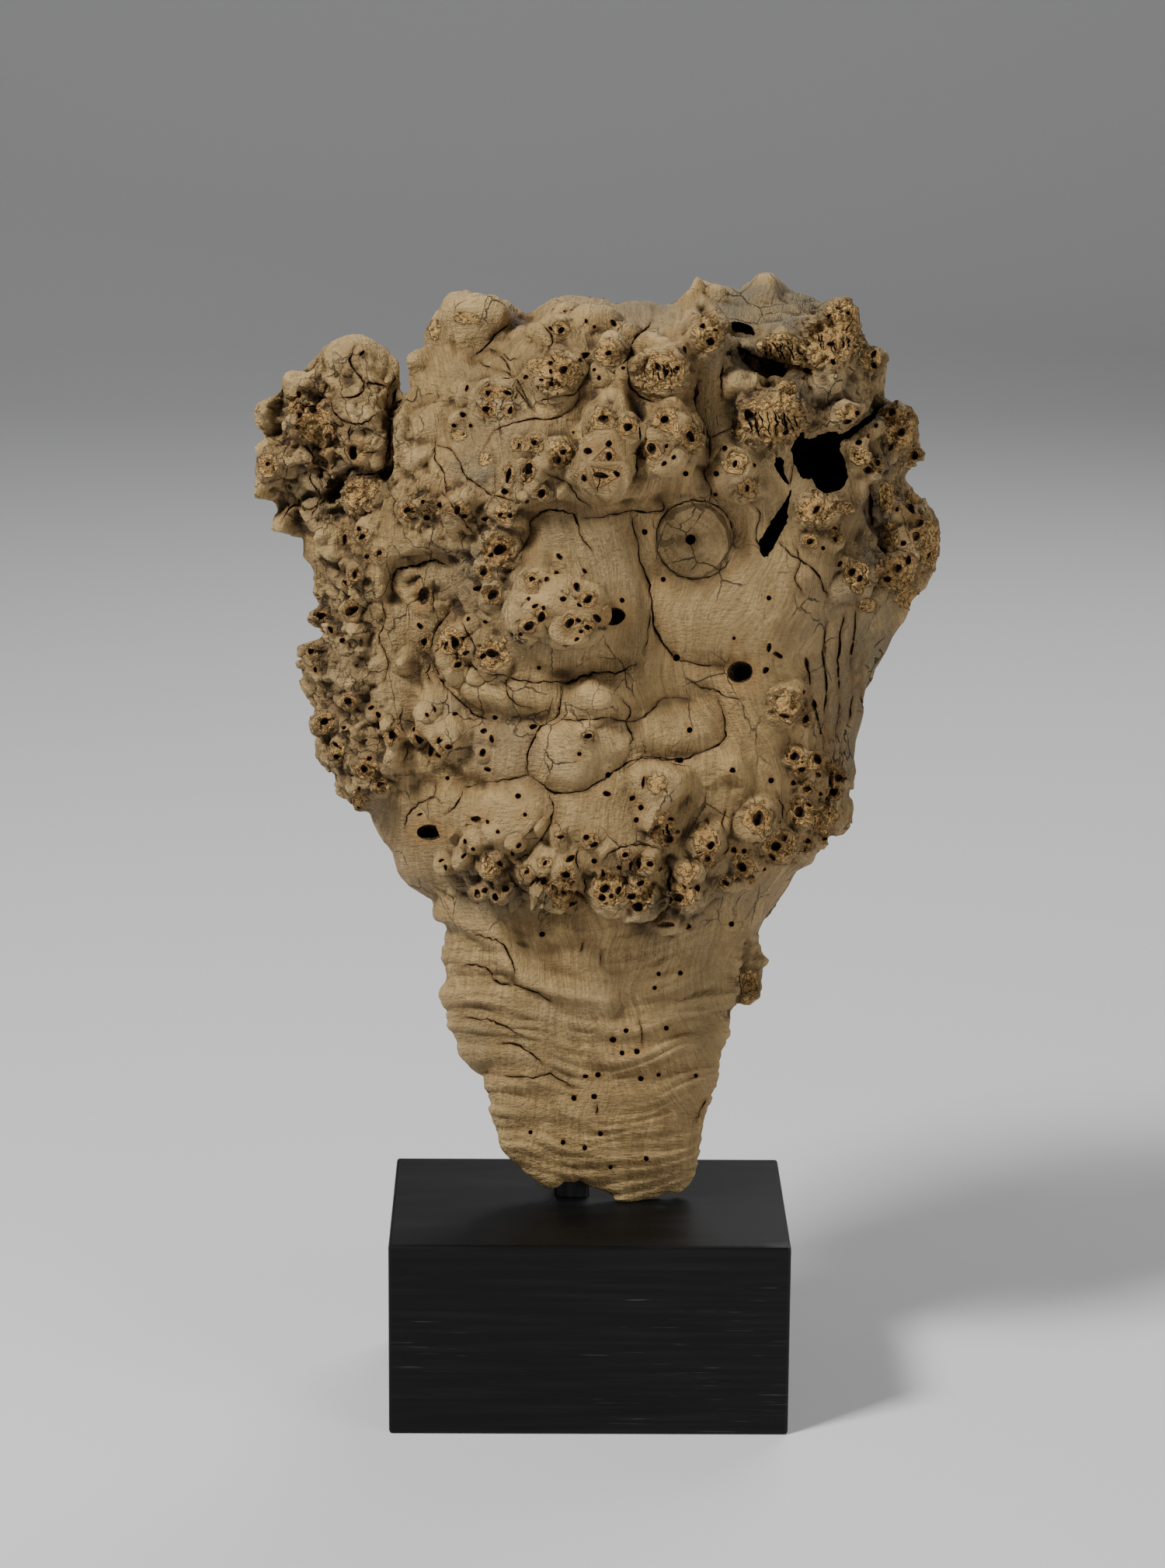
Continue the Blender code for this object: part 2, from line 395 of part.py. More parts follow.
def curved(pixels):
    """A smooth path through those pixels, four steps from each to the next."""
    path = np.array(pixels, float)
    path = np.vstack([2 * path[0] - path[1], path, 2 * path[-1] - path[-2]])
    steps = np.arange(4)[:, None] / 4
    made = [path[1:2]]
    for before, start, end, after in zip(path, path[1:], path[2:], path[3:]):
        bend = (end - before) / 2, (after - start) / 2
        made.append(start + steps * (bend[0] + steps * (3 * (end - start) - 2 * bend[0] - bend[1]
                                                        + steps * (2 * (start - end) + bend[0] + bend[1]))))
    return np.vstack([*made[1:], path[-2:-1]])


# Driftwood

def sheet_of_cells():
    """A flat grid in the photograph's pixels, cut to the silhouette, with its edge drawn to the outline."""
    outline = np.array(OUTLINE, float)
    low, high = outline[:, :2].min(0) - GRID_STEP, outline[:, :2].max(0) + GRID_STEP
    counts = np.ceil((high - low) / GRID_STEP).astype(int)
    sheet = bmesh.new()
    bmesh.ops.create_grid(sheet, x_segments=int(counts[0]), y_segments=int(counts[1]), size=0.5)
    bmesh.ops.scale(sheet, vec=(*(counts * GRID_STEP), 1), verts=sheet.verts)
    bmesh.ops.translate(sheet, vec=(*(low + counts * GRID_STEP / 2), 0), verts=sheet.verts)
    middles = np.array([face.calc_center_median() for face in sheet.faces])
    kept = inside(OUTLINE, middles[:, 0], middles[:, 1])
    bmesh.ops.delete(sheet, geom=[f for f, keep in zip(sheet.faces, kept) if not keep], context="FACES")
    rim = [v for v in sheet.verts if v.is_boundary]
    points = np.array([v.co for v in rim])
    _, near, _ = nearest_on_path(OUTLINE, points[:, 0], points[:, 1], True)
    for vertex, foot in zip(rim, near):
        vertex.co.xy = foot
    return sheet


def rounding(distance, reach):
    """Rises from 0 at an edge to 1 at reach, as a quarter of an ellipse."""
    share = np.clip(distance / reach, 0, 1)
    return np.sqrt(np.maximum(1 - (1 - share) ** 2, 0))


def shell_points(across, down, is_front):
    """World points of the shell's front or back for those pixels."""
    rim_heights = np.array([row[2] for row in OUTLINE] + [OUTLINE[0][2]], float)
    distance, _, along = nearest_on_path(OUTLINE, across, down, True)
    rim = np.interp(along, np.arange(len(rim_heights)), rim_heights)
    front = thin_plate(FRONT_RELIEF)(across, down)
    front = rim + 1.2 + (np.maximum(front, rim + 1) - rim) * rounding(distance, FRONT_ROUND)
    if is_front:
        return place(across, down, front)
    back = thin_plate(BACK_RELIEF)(across, down)
    back = rim - 1.2 + (back - rim) * rounding(distance, BACK_ROUND)
    return place(across, down, np.minimum(back, front - 3.2))


def plain_shell():
    """The shell with no buds: both sheets, joined round the rim, as one even mesh."""
    sheet = sheet_of_cells()
    front_verts = list(sheet.verts)
    grown = bmesh.ops.extrude_face_region(sheet, geom=list(sheet.faces))["geom"]
    back_verts = [v for v in grown if isinstance(v, bmesh.types.BMVert)]
    for verts, is_front in ((front_verts, False), (back_verts, True)):
        flat = np.array([v.co for v in verts])
        for vertex, point in zip(verts, shell_points(flat[:, 0], flat[:, 1], is_front)):
            vertex.co = point
    bmesh.ops.recalc_face_normals(sheet, faces=sheet.faces)
    mesh = bpy.data.meshes.new("shell_sheets")
    sheet.to_mesh(mesh)
    sheet.free()
    obj = bpy.data.objects.new("shell_sheets", mesh)
    bpy.context.scene.collection.objects.link(obj)
    even = obj.modifiers.new("even", "REMESH")
    even.mode = "VOXEL"
    even.voxel_size = REMESH_SIZE
    soft = obj.modifiers.new("soft", "SMOOTH")
    soft.factor = 0.5
    soft.iterations = 3
    made = evaluated_copy(obj, "shell")
    bpy.data.objects.remove(obj)
    return made


class Carving:
    """The shell's points, moved in and out along its surface."""

    def __init__(self, mesh):
        self.mesh = mesh
        self.points = np.empty(len(mesh.vertices) * 3)
        mesh.vertices.foreach_get("co", self.points)
        self.points = self.points.reshape(-1, 3)
        self.refresh()

    def refresh(self):
        """Writes the points back, and reads the directions and the pixels again."""
        self.mesh.vertices.foreach_set("co", self.points.ravel())
        self.mesh.update()
        self.normals = np.empty(len(self.points) * 3)
        self.mesh.vertices.foreach_get("normal", self.normals)
        self.normals = self.normals.reshape(-1, 3)
        self.across, self.down = pixels_of(self.points)
        triangles = BVHTree.FromPolygons(self.points.tolist(), [p.vertices[:] for p in self.mesh.polygons])
        self.surface = triangles
        self.facing = -(self.normals @ FORWARD)

    def hit(self, across, down):
        """Where the line of sight through a pixel first meets the wood, and the surface's direction there."""
        ray = Vector(sight_lines(across, down)).normalized()
        point, normal, _, _ = self.surface.ray_cast(VIEW_POINT, ray)
        return point, normal

    def around(self, across, down, radius):
        """Points within radius of the hit, their distances across the surface, and its direction."""
        point, normal = self.hit(across, down)
        if point is None:
            return np.zeros(0, int), None, None
        offset = self.points - np.array(point)
        near = np.flatnonzero((np.abs(offset) < 1.6 * radius).all(1))
        offset = offset[near]
        axis = self.normals[near].mean(0) + 0.6 * np.array(normal) - 0.4 * FORWARD
        axis /= np.linalg.norm(axis)
        sideways = np.linalg.norm(offset - (offset @ axis)[:, None] * axis, axis=1)
        same_side = (self.normals[near] @ axis > -0.3) & (np.abs(offset @ axis) < 1.5 * radius + 6 * MM)
        return near[same_side], sideways[same_side], axis

    def bud(self, across, down, radius_pixels, height_mm, pit_mm):
        radius = radius_pixels * PIXEL
        near, sideways, axis = self.around(across, down, radius)
        if axis is None:
            return
        share = np.clip(sideways / (1.2 * radius), 0, 1)
        swell = BUD_SCALE * height_mm * MM * (1 - share**2) ** 1.4
        pit = pit_mm * MM * np.exp(-((sideways / (0.42 * radius)) ** 2))
        self.points[near] += (swell - pit)[:, None] * axis

    def path(self, half_width, height_mm, pixels):
        """A ridge along a row of pixels, or a cleft where the height is negative."""
        distance, _, _ = nearest_on_path(curved(pixels), self.across, self.down, False)
        seen = self.facing > 0.05
        share = np.clip(distance / (2 * half_width), 0, 1)
        self.points += (height_mm * MM * (1 - share**2) ** 2 * seen)[:, None] * self.normals


def carved_shell():
    carving = Carving(plain_shell())
    for height, pixels in NECK_FOLDS:
        carving.path(FOLD_HALF_WIDTH, height, pixels)
    for half_width, depth, pixels in CLEFTS:
        carving.path(half_width, -depth, pixels)
    carving.refresh()
    for row in BUDS:
        carving.bud(*row)
    points = carving.points
    points[:, 2] = np.maximum(points[:, 2], BLOCK_SIZE.z + GAP)
    by_post = (np.abs(points[:, 0] - POST_X) < POST_WIDTH) & (points[:, 2] < POST_TOP_Z + POST_WIDTH / 2)
    points[by_post, 1] = np.minimum(points[by_post, 1], POST_FRONT_Y - 3 * GAP)
    carving.refresh()
    return carving


def boring_cutter(carving):
    """The wide borings as one mesh of oval rods along the line of sight."""
    rods = bmesh.new()
    for across, down, half_width, half_height in BORINGS:
        point, _ = carving.hit(across, down)
        line = Vector(sight_lines(across, down)).normalized()
        turn = line.to_track_quat("Z", "Y").to_matrix().to_4x4()
        size = Matrix.Diagonal((half_width * PIXEL, half_height * PIXEL, 1, 1))
        middle = Matrix.Translation(point + line * BORING_DEPTH * 0.3)
        bmesh.ops.create_cone(rods, cap_ends=True, segments=12, radius1=1, radius2=0.9,
                              depth=BORING_DEPTH * 1.5, matrix=middle @ turn @ size)
    mesh = bpy.data.meshes.new("borings")
    rods.to_mesh(mesh)
    rods.free()
    return mesh


def pocket_cutter(floor_mm, outline):
    """A prism along the line of sight through the outline, a little wider at its floor."""
    outline = np.array(outline, float)
    middle = outline.mean(0)
    prism = bmesh.new()
    rings = []
    for in_front, spread in ((60, 1), (floor_mm + 16, 1), (floor_mm, POCKET_SPREAD)):
        ring = middle + spread * (outline - middle)
        rings.append([prism.verts.new(point) for point in place(ring[:, 0], ring[:, 1], in_front * np.ones(len(ring)))])
    prism.faces.new(rings[0])
    prism.faces.new(rings[-1][::-1])
    for ring, deeper in zip(rings, rings[1:]):
        for start, end, deep_end, deep_start in zip(ring, ring[1:] + ring[:1], deeper[1:] + deeper[:1], deeper):
            prism.faces.new((start, deep_start, deep_end, end))
    bmesh.ops.recalc_face_normals(prism, faces=prism.faces)
    mesh = bpy.data.meshes.new("pocket")
    prism.to_mesh(mesh)
    prism.free()
    return mesh


def cutter(name, mesh):
    obj = bpy.data.objects.new(name, mesh)
    bpy.context.scene.collection.objects.link(obj)
    obj.hide_render = True
    obj.display_type = "WIRE"
    return obj


def cut_with(obj, tool):
    cut = obj.modifiers.new(tool.name, "BOOLEAN")
    cut.operation = "DIFFERENCE"
    cut.object = tool
    return cut


def make_driftwood():
    carving = carved_shell()
    obj = add_object("driftwood", carving.mesh, "driftwood", 180)
    fewer = obj.modifiers.new("fewer_faces", "DECIMATE")
    fewer.ratio = TRIANGLES / (2 * len(carving.mesh.polygons))
    fewer.use_collapse_triangulate = True
    cut_with(obj, cutter("borings", boring_cutter(carving)))
    for name, (floor_mm, outline) in POCKETS.items():
        cut_with(obj, cutter(name, pocket_cutter(floor_mm, outline)))
    return obj


# Block, post and fastenings

def block_shape(size, edge, name):
    """A box with small rounded edges, its middle at the origin."""
    shape = bmesh.new()
    bmesh.ops.create_cube(shape, size=1, matrix=Matrix.Diagonal((*size, 1)))
    bmesh.ops.bevel(shape, geom=list(shape.edges), offset=edge, segments=2, profile=0.5, affect="EDGES")
    mesh = bpy.data.meshes.new(name)
    shape.to_mesh(mesh)
    shape.free()
    return mesh


def turned(name, profile, segments):
    """A round piece about Z, from (radius, height) points that go up its outer side."""
    shape = bmesh.new()
    verts = [shape.verts.new((radius, 0, height)) for radius, height in profile]
    edges = [shape.edges.new(pair) for pair in zip(verts, verts[1:])]
    bmesh.ops.spin(shape, geom=verts + edges, cent=(0, 0, 0), axis=(0, 0, 1), angle=2 * math.pi,
                   steps=segments, use_merge=True)
    bmesh.ops.remove_doubles(shape, verts=shape.verts, dist=1e-6)
    bmesh.ops.recalc_face_normals(shape, faces=shape.faces)
    mesh = bpy.data.meshes.new(name)
    shape.to_mesh(mesh)
    shape.free()
    return mesh


def make_block():
    block = add_object("block", block_shape(BLOCK_SIZE, BLOCK_EDGE, "block"), "black_wood")
    block.location.z = BLOCK_SIZE.z / 2
    post_y = POST_FRONT_Y + POST_WIDTH / 2
    socket_size = Vector((POST_WIDTH + 2 * GAP, POST_WIDTH + 2 * GAP, 2 * (POST_SUNK + GAP)))
    socket = cutter("post_socket", block_shape(socket_size, POST_EDGE, "post_socket"))
    socket.location = (POST_X, post_y, BLOCK_SIZE.z)
    top = BLOCK_SIZE.z - POST_SUNK
    hole = cutter("fixing_hole", turned("fixing_hole", [
        (0, -5 * MM), (COUNTERBORE_RADIUS, -5 * MM), (COUNTERBORE_RADIUS, COUNTERBORE_DEPTH),
        (FIXING_HOLE_RADIUS, COUNTERBORE_DEPTH), (FIXING_HOLE_RADIUS, top + 2 * MM), (0, top + 2 * MM)], 24))
    hole.location = (POST_X, post_y, 0)
    cut_with(block, socket)
    cut_with(block, hole)
    return block


def make_post():
    bottom = BLOCK_SIZE.z - POST_SUNK
    size = Vector((POST_WIDTH, POST_WIDTH, POST_TOP_Z - bottom))
    post = add_object("post", block_shape(size, POST_EDGE, "post"), "black_steel")
    post.location = (POST_X, POST_FRONT_Y + POST_WIDTH / 2, (POST_TOP_Z + bottom) / 2)
    thread = cutter("post_thread", turned("post_thread", [
        (0, -5 * MM), (FIXING_HOLE_RADIUS, -5 * MM), (FIXING_HOLE_RADIUS, FIXING_GRIP + 2 * MM),
        (0, FIXING_GRIP + 4 * MM)], 24))
    thread.location = (POST_X, POST_FRONT_Y + POST_WIDTH / 2, bottom)
    cut_with(post, thread)
    return post


def make_fixing():
    """The screw and washer that hold the post down from under the block."""
    post_y = POST_FRONT_Y + POST_WIDTH / 2
    washer_top = COUNTERBORE_DEPTH - GAP
    washer = add_object("fixing_washer", turned("fixing_washer", [
        (FIXING_HOLE_RADIUS, 0), (WASHER_RADIUS, 0), (WASHER_RADIUS, WASHER_THICKNESS),
        (FIXING_HOLE_RADIUS, WASHER_THICKNESS), (FIXING_HOLE_RADIUS, 0)], 24), "zinc")
    washer.location = (POST_X, post_y, washer_top - WASHER_THICKNESS)
    head_top = washer_top - WASHER_THICKNESS - GAP
    grip_top = BLOCK_SIZE.z - POST_SUNK + FIXING_GRIP - head_top
    screw = add_object("fixing_screw", turned("fixing_screw", [
        (0, -FIXING_HEAD_HEIGHT), (FIXING_HEAD_RADIUS * 0.8, -FIXING_HEAD_HEIGHT),
        (FIXING_HEAD_RADIUS, -FIXING_HEAD_HEIGHT * 0.6), (FIXING_HEAD_RADIUS, 0), (FIXING_RADIUS, 0),
        (FIXING_RADIUS, grip_top - 1 * MM), (FIXING_RADIUS * 0.7, grip_top), (0, grip_top)], 24), "zinc")
    screw.location = (POST_X, post_y, head_top)


def back_of_wood(obj, across_x, height_z):
    """How far forward the wood's back lies at that place, along Y."""
    graph = bpy.context.evaluated_depsgraph_get()
    tree = BVHTree.FromObject(obj, graph)
    start = Vector((across_x, POST_FRONT_Y, height_z))
    point, _, _, _ = tree.ray_cast(start, Vector((0, -1, 0)))
    return point.y


def make_arm(name, wood, height_z):
    """A flat bar from the post with a pad across its end, and two screws through the pad into the wood."""
    corners = [back_of_wood(wood, POST_X + x * PAD_SIZE.x / 2, height_z + z * PAD_SIZE.z / 2)
               for x in (-1, -0.5, 0, 0.5, 1) for z in (-1, 0, 1)]
    pad_front = max(corners) + GAP
    shape = bmesh.new()
    pad_middle = Matrix.Translation((POST_X, pad_front + PAD_SIZE.y / 2, height_z))
    bmesh.ops.create_cube(shape, size=1, matrix=pad_middle @ Matrix.Diagonal((*PAD_SIZE, 1)))
    pad = bpy.data.meshes.new(name)
    shape.to_mesh(pad)
    shape.free()
    arm = add_object(name, pad, "black_steel")
    bar_start, bar_end = pad_front + PAD_SIZE.y / 2, POST_FRONT_Y - GAP
    shape = bmesh.new()
    bar = Matrix.Translation((POST_X, (bar_start + bar_end) / 2, height_z))
    bmesh.ops.create_cube(shape, size=1,
                          matrix=bar @ Matrix.Diagonal((ARM_THICKNESS * 2, bar_end - bar_start, ARM_THICKNESS, 1)))
    bar_mesh = bpy.data.meshes.new(name + "_bar")
    shape.to_mesh(bar_mesh)
    shape.free()
    join = arm.modifiers.new("bar", "BOOLEAN")
    join.operation = "UNION"
    join.object = cutter(name + "_bar", bar_mesh)
    for number, side in enumerate((-1, 1), 1):
        x = POST_X + side * PAD_SCREW_SPACING / 2
        turn = Matrix.Translation((x, pad_front + PAD_SIZE.y, height_z)) @ Matrix.Rotation(math.radians(90), 4, "X")
        hole = cutter(f"{name}_hole_{number}", turned("pad_hole", [
            (0, -5 * MM), (SCREW_HOLE_RADIUS, -5 * MM), (SCREW_HOLE_RADIUS, 20 * MM), (0, 20 * MM)], 12))
        hole.matrix_world = turn
        cut_with(arm, hole)
        bore = cutter(f"{name}_bore_{number}", turned("wood_bore", [
            (0, -5 * MM), (SCREW_HOLE_RADIUS, -5 * MM), (SCREW_HOLE_RADIUS, SCREW_LENGTH + 1 * MM),
            (0, SCREW_LENGTH + 2 * MM)], 12))
        bore.matrix_world = turn
        cut_with(wood, bore)
        screw = add_object(f"{name}_screw_{number}", turned("pad_screw", [
            (0, -SCREW_HEAD_HEIGHT - GAP), (SCREW_HEAD_RADIUS * 0.6, -SCREW_HEAD_HEIGHT - GAP),
            (SCREW_HEAD_RADIUS, -GAP), (SCREW_RADIUS, -GAP), (SCREW_RADIUS, SCREW_LENGTH * 0.7),
            (0, SCREW_LENGTH)], 12), "zinc")
        screw.matrix_world = turn


def main():
    clear_scene()
    wood = make_driftwood()
    make_block()
    make_post()
    make_fixing()
    for name, height in ARM_HEIGHTS.items():
        make_arm(f"{name}_arm", wood, height)


main()
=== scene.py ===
# A burl of driftwood on a black block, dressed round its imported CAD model.
import math
import random

import bmesh
import bpy
import numpy as np
from mathutils import Matrix, Vector
from mathutils.bvhtree import BVHTree


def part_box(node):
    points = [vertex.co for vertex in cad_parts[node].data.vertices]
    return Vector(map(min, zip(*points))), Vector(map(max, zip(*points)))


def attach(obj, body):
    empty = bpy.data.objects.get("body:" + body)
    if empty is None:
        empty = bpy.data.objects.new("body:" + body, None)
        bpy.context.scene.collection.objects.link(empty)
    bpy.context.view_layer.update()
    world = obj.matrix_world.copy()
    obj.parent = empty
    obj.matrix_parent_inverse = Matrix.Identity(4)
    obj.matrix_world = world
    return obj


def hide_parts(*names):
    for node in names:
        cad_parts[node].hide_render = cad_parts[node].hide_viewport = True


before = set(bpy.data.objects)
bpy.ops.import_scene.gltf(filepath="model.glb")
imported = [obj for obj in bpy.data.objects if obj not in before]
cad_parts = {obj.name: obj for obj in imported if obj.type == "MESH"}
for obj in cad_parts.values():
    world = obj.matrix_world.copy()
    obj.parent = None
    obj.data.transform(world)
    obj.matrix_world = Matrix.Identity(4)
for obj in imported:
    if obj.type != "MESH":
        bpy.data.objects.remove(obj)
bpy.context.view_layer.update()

mm = 0.001


def linkNew(name, data):          # an object in the scene for a mesh, a lamp or a camera
    obj = bpy.data.objects.new(name, data)
    bpy.context.scene.collection.objects.link(obj)
    return obj


# Camera: fitted to the six corners of the block that the photograph shows
photo = {
    "middle": (750.0, 1009.5),    # pixels
    "focalPixels": 5558.4,
    "longSide": 2019,             # pixels
    "sensor": 36,                 # mm
    "eye": Vector((-0.01990, -1.58930, 0.64337)),
    "pitch": math.radians(14.122),
    "yaw": math.radians(0.590),
    "roll": math.radians(0.418),
    "pixel": 0.293 * mm,          # one pixel at the wood
}


def viewAxes():
    pitch, yaw, roll = photo["pitch"], photo["yaw"], photo["roll"]
    ahead = Vector((math.sin(yaw) * math.cos(pitch), math.cos(yaw) * math.cos(pitch), -math.sin(pitch)))
    level = Vector((math.cos(yaw), -math.sin(yaw), 0))
    upright = level.cross(ahead)
    across = math.cos(roll) * level + math.sin(roll) * upright
    up = math.cos(roll) * upright - math.sin(roll) * level
    return np.array(across), np.array(up), np.array(ahead)


viewRight, viewUp, viewAhead = viewAxes()
eye = np.array(photo["eye"])


def makeCamera():
    data = bpy.data.cameras.new("photoCamera")
    data.sensor_fit = "AUTO"
    data.sensor_width = photo["sensor"]
    data.lens = photo["sensor"] * photo["focalPixels"] / photo["longSide"]
    data.clip_start, data.clip_end = 0.05, 60
    camera = linkNew("photoCamera", data)
    turn = Matrix((viewRight, viewUp, -viewAhead)).transposed().to_4x4()
    camera.matrix_world = Matrix.Translation(photo["eye"]) @ turn
    bpy.context.scene.camera = camera


def sightLines(across, down):     # directions from the eye through those pixels
    across = (np.asarray(across, float) - photo["middle"][0]) / photo["focalPixels"]
    down = (np.asarray(down, float) - photo["middle"][1]) / photo["focalPixels"]
    return viewAhead + across[..., None] * viewRight - down[..., None] * viewUp


def place(across, down, inFront):  # points at those pixels, inFront mm before the plane y = 0
    rays = sightLines(across, down)
    reach = (-np.asarray(inFront, float) * mm - eye[1]) / rays[..., 1]
    return eye + rays * reach[..., None]


def placeAt(across, down, reach):  # points at those pixels, that far from the eye
    ways = sightLines(across, down)
    ways /= np.linalg.norm(ways, axis=1)[:, None]
    return eye + ways * reach


def pixelsOf(points):             # the pixels at which the camera sees those points
    offset = points - eye
    depth = offset @ viewAhead
    across = photo["middle"][0] + photo["focalPixels"] * (offset @ viewRight) / depth
    return across, photo["middle"][1] - photo["focalPixels"] * (offset @ viewUp) / depth


makeCamera()
print("stage 1: camera")

# Silhouette, clockwise from the left lobe: pixel across, pixel down, mm that the rim lies before y = 0
outline = [
    (329, 533, -14), (334, 517, -14), (357, 510, -14), (380, 486, -14), (401, 466, -15), (424, 448, -16),
    (443, 442, -16), (460, 441, -16), (478, 446, -15), (496, 453, -14), (512, 464, -12), (514, 492, -10),
    (517, 506, -6), (529, 506, -6), (527, 487, -12), (526, 459, -16), (533, 451, -18), (548, 447, -18),
    (545, 432, -18), (553, 415, -20), (561, 400, -21), (573, 393, -22), (601, 386, -23), (651, 386, -23),
    (666, 398, -22), (678, 406, -20), (688, 399, -19), (713, 383, -19), (730, 380, -19), (752, 381, -19),
    (780, 384, -19), (791, 393, -18), (810, 388, -18), (838, 388, -18), (848, 393, -18), (869, 391, -19),
    (881, 378, -20), (889, 374, -20), (893, 361, -22), (907, 361, -22), (922, 367, -22), (938, 368, -22),
    (948, 376, -21), (962, 364, -22), (992, 361, -22), (1010, 367, -22), (1024, 376, -20), (1044, 383, -20),
    (1062, 393, -19), (1082, 393, -18), (1096, 402, -18), (1106, 419, -18), (1118, 443, -18), (1134, 450, -18),
    (1141, 466, -18), (1141, 488, -18), (1137, 512, -17), (1151, 521, -17), (1172, 524, -18), (1182, 538, -18),
    (1184, 581, -20), (1175, 598, -21), (1164, 616, -22), (1172, 628, -24), (1189, 643, -26), (1203, 657, -28),
    (1210, 680, -28), (1210, 711, -28), (1200, 742, -28), (1189, 758, -29), (1175, 773, -30), (1166, 796, -31),
    (1154, 814, -32), (1141, 836, -32), (1129, 857, -32), (1117, 876, -32), (1111, 897, -32), (1108, 923, -31),
    (1101, 951, -30), (1099, 977, -30), (1097, 1010, -30), (1093, 1022, -30), (1098, 1033, -31), (1096, 1063, -31),
    (1083, 1077, -29), (1069, 1076, -26), (1051, 1098, -25), (1046, 1112, -25), (1024, 1122, -24), (1014, 1142, -24),
    (999, 1165, -23), (983, 1186, -22), (976, 1201, -21), (979, 1224, -23), (982, 1242, -24), (981, 1262, -24),
    (978, 1283, -22), (966, 1295, -19), (950, 1293, -15), (941, 1300, -13), (940, 1316, -13), (932, 1340, -12),
    (927, 1365, -11), (924, 1392, -11), (912, 1417, -10), (906, 1445, -9), (901, 1478, -8), (895, 1512, -7),
    (889, 1524, -6), (875, 1536, -5), (855, 1536, -3), (846, 1542, -2), (825, 1545, -1), (809, 1550, 0),
    (797, 1547, 0), (782, 1535, -1), (754, 1526, -1), (745, 1516, -1), (741, 1523, -1), (727, 1521, -1),
    (716, 1530, -2), (706, 1532, -3), (687, 1518, -5), (665, 1500, -7), (647, 1475, -8), (638, 1451, -10),
    (633, 1420, -11), (627, 1383, -12), (617, 1384, -13), (606, 1376, -14), (598, 1359, -14), (586, 1328, -16),
    (575, 1304, -17), (572, 1282, -18), (575, 1264, -18), (574, 1236, -19), (572, 1209, -20), (577, 1186, -20),
    (570, 1177, -21), (562, 1162, -21), (526, 1141, -22), (512, 1125, -23), (505, 1096, -24), (491, 1080, -24),
    (480, 1060, -24), (476, 1045, -23), (457, 1043, -21), (450, 1027, -21), (434, 1022, -22), (431, 996, -22),
    (411, 984, -23), (406, 963, -23), (410, 943, -23), (405, 931, -23), (406, 910, -23), (387, 887, -24),
    (389, 876, -24), (405, 853, -23), (397, 836, -23), (419, 814, -22), (402, 792, -22), (415, 783, -21),
    (402, 763, -21), (406, 747, -20), (402, 730, -20), (391, 717, -19), (390, 689, -17), (373, 689, -17),
    (348, 682, -17), (359, 663, -16), (356, 650, -16), (334, 633, -16), (332, 604, -15), (337, 587, -15),
    (337, 573, -14), (352, 562, -13), (341, 555, -14), (329, 541, -14),
]

# Deep hollows: mm that the floor lies before y = 0, then the outline in pixels
pockets = {
    "cavity": (-14, [(1018, 580), (1024, 566), (1034, 557), (1039, 565), (1050, 562), (1066, 556), (1079, 557),
                     (1084, 568), (1082, 577), (1088, 595), (1091, 615), (1084, 628), (1066, 636), (1052, 627),
                     (1044, 617), (1034, 616), (1024, 601)]),
    "slit": (-10, [(1019, 630), (1015, 655), (1013, 673), (1004, 690), (993, 710), (984, 718), (978, 707),
                   (979, 694), (988, 680), (998, 663), (1010, 644)]),
    "sideSlot": (6, [(998, 588), (1008, 591), (1009, 604), (1016, 624), (1005, 612), (998, 600)]),
    "recess": (2, [(949, 447), (962, 450), (975, 459), (991, 463), (1004, 467), (1010, 476), (1006, 485),
                   (988, 481), (969, 473), (956, 462)]),
    "crevice": (-8, [(942, 415), (956, 415), (969, 422), (971, 431), (958, 430), (944, 426)]),
    "lowRecess": (5, [(551, 965), (557, 978), (566, 981), (587, 981), (600, 984), (601, 995), (590, 1000),
                      (578, 999), (561, 998), (553, 986), (547, 972)]),
    "split": (-10, [(1137, 513), (1126, 521), (1119, 535), (1104, 546), (1088, 556), (1078, 560), (1080, 570),
                    (1098, 561), (1110, 550), (1123, 540), (1129, 528), (1140, 518)]),
}

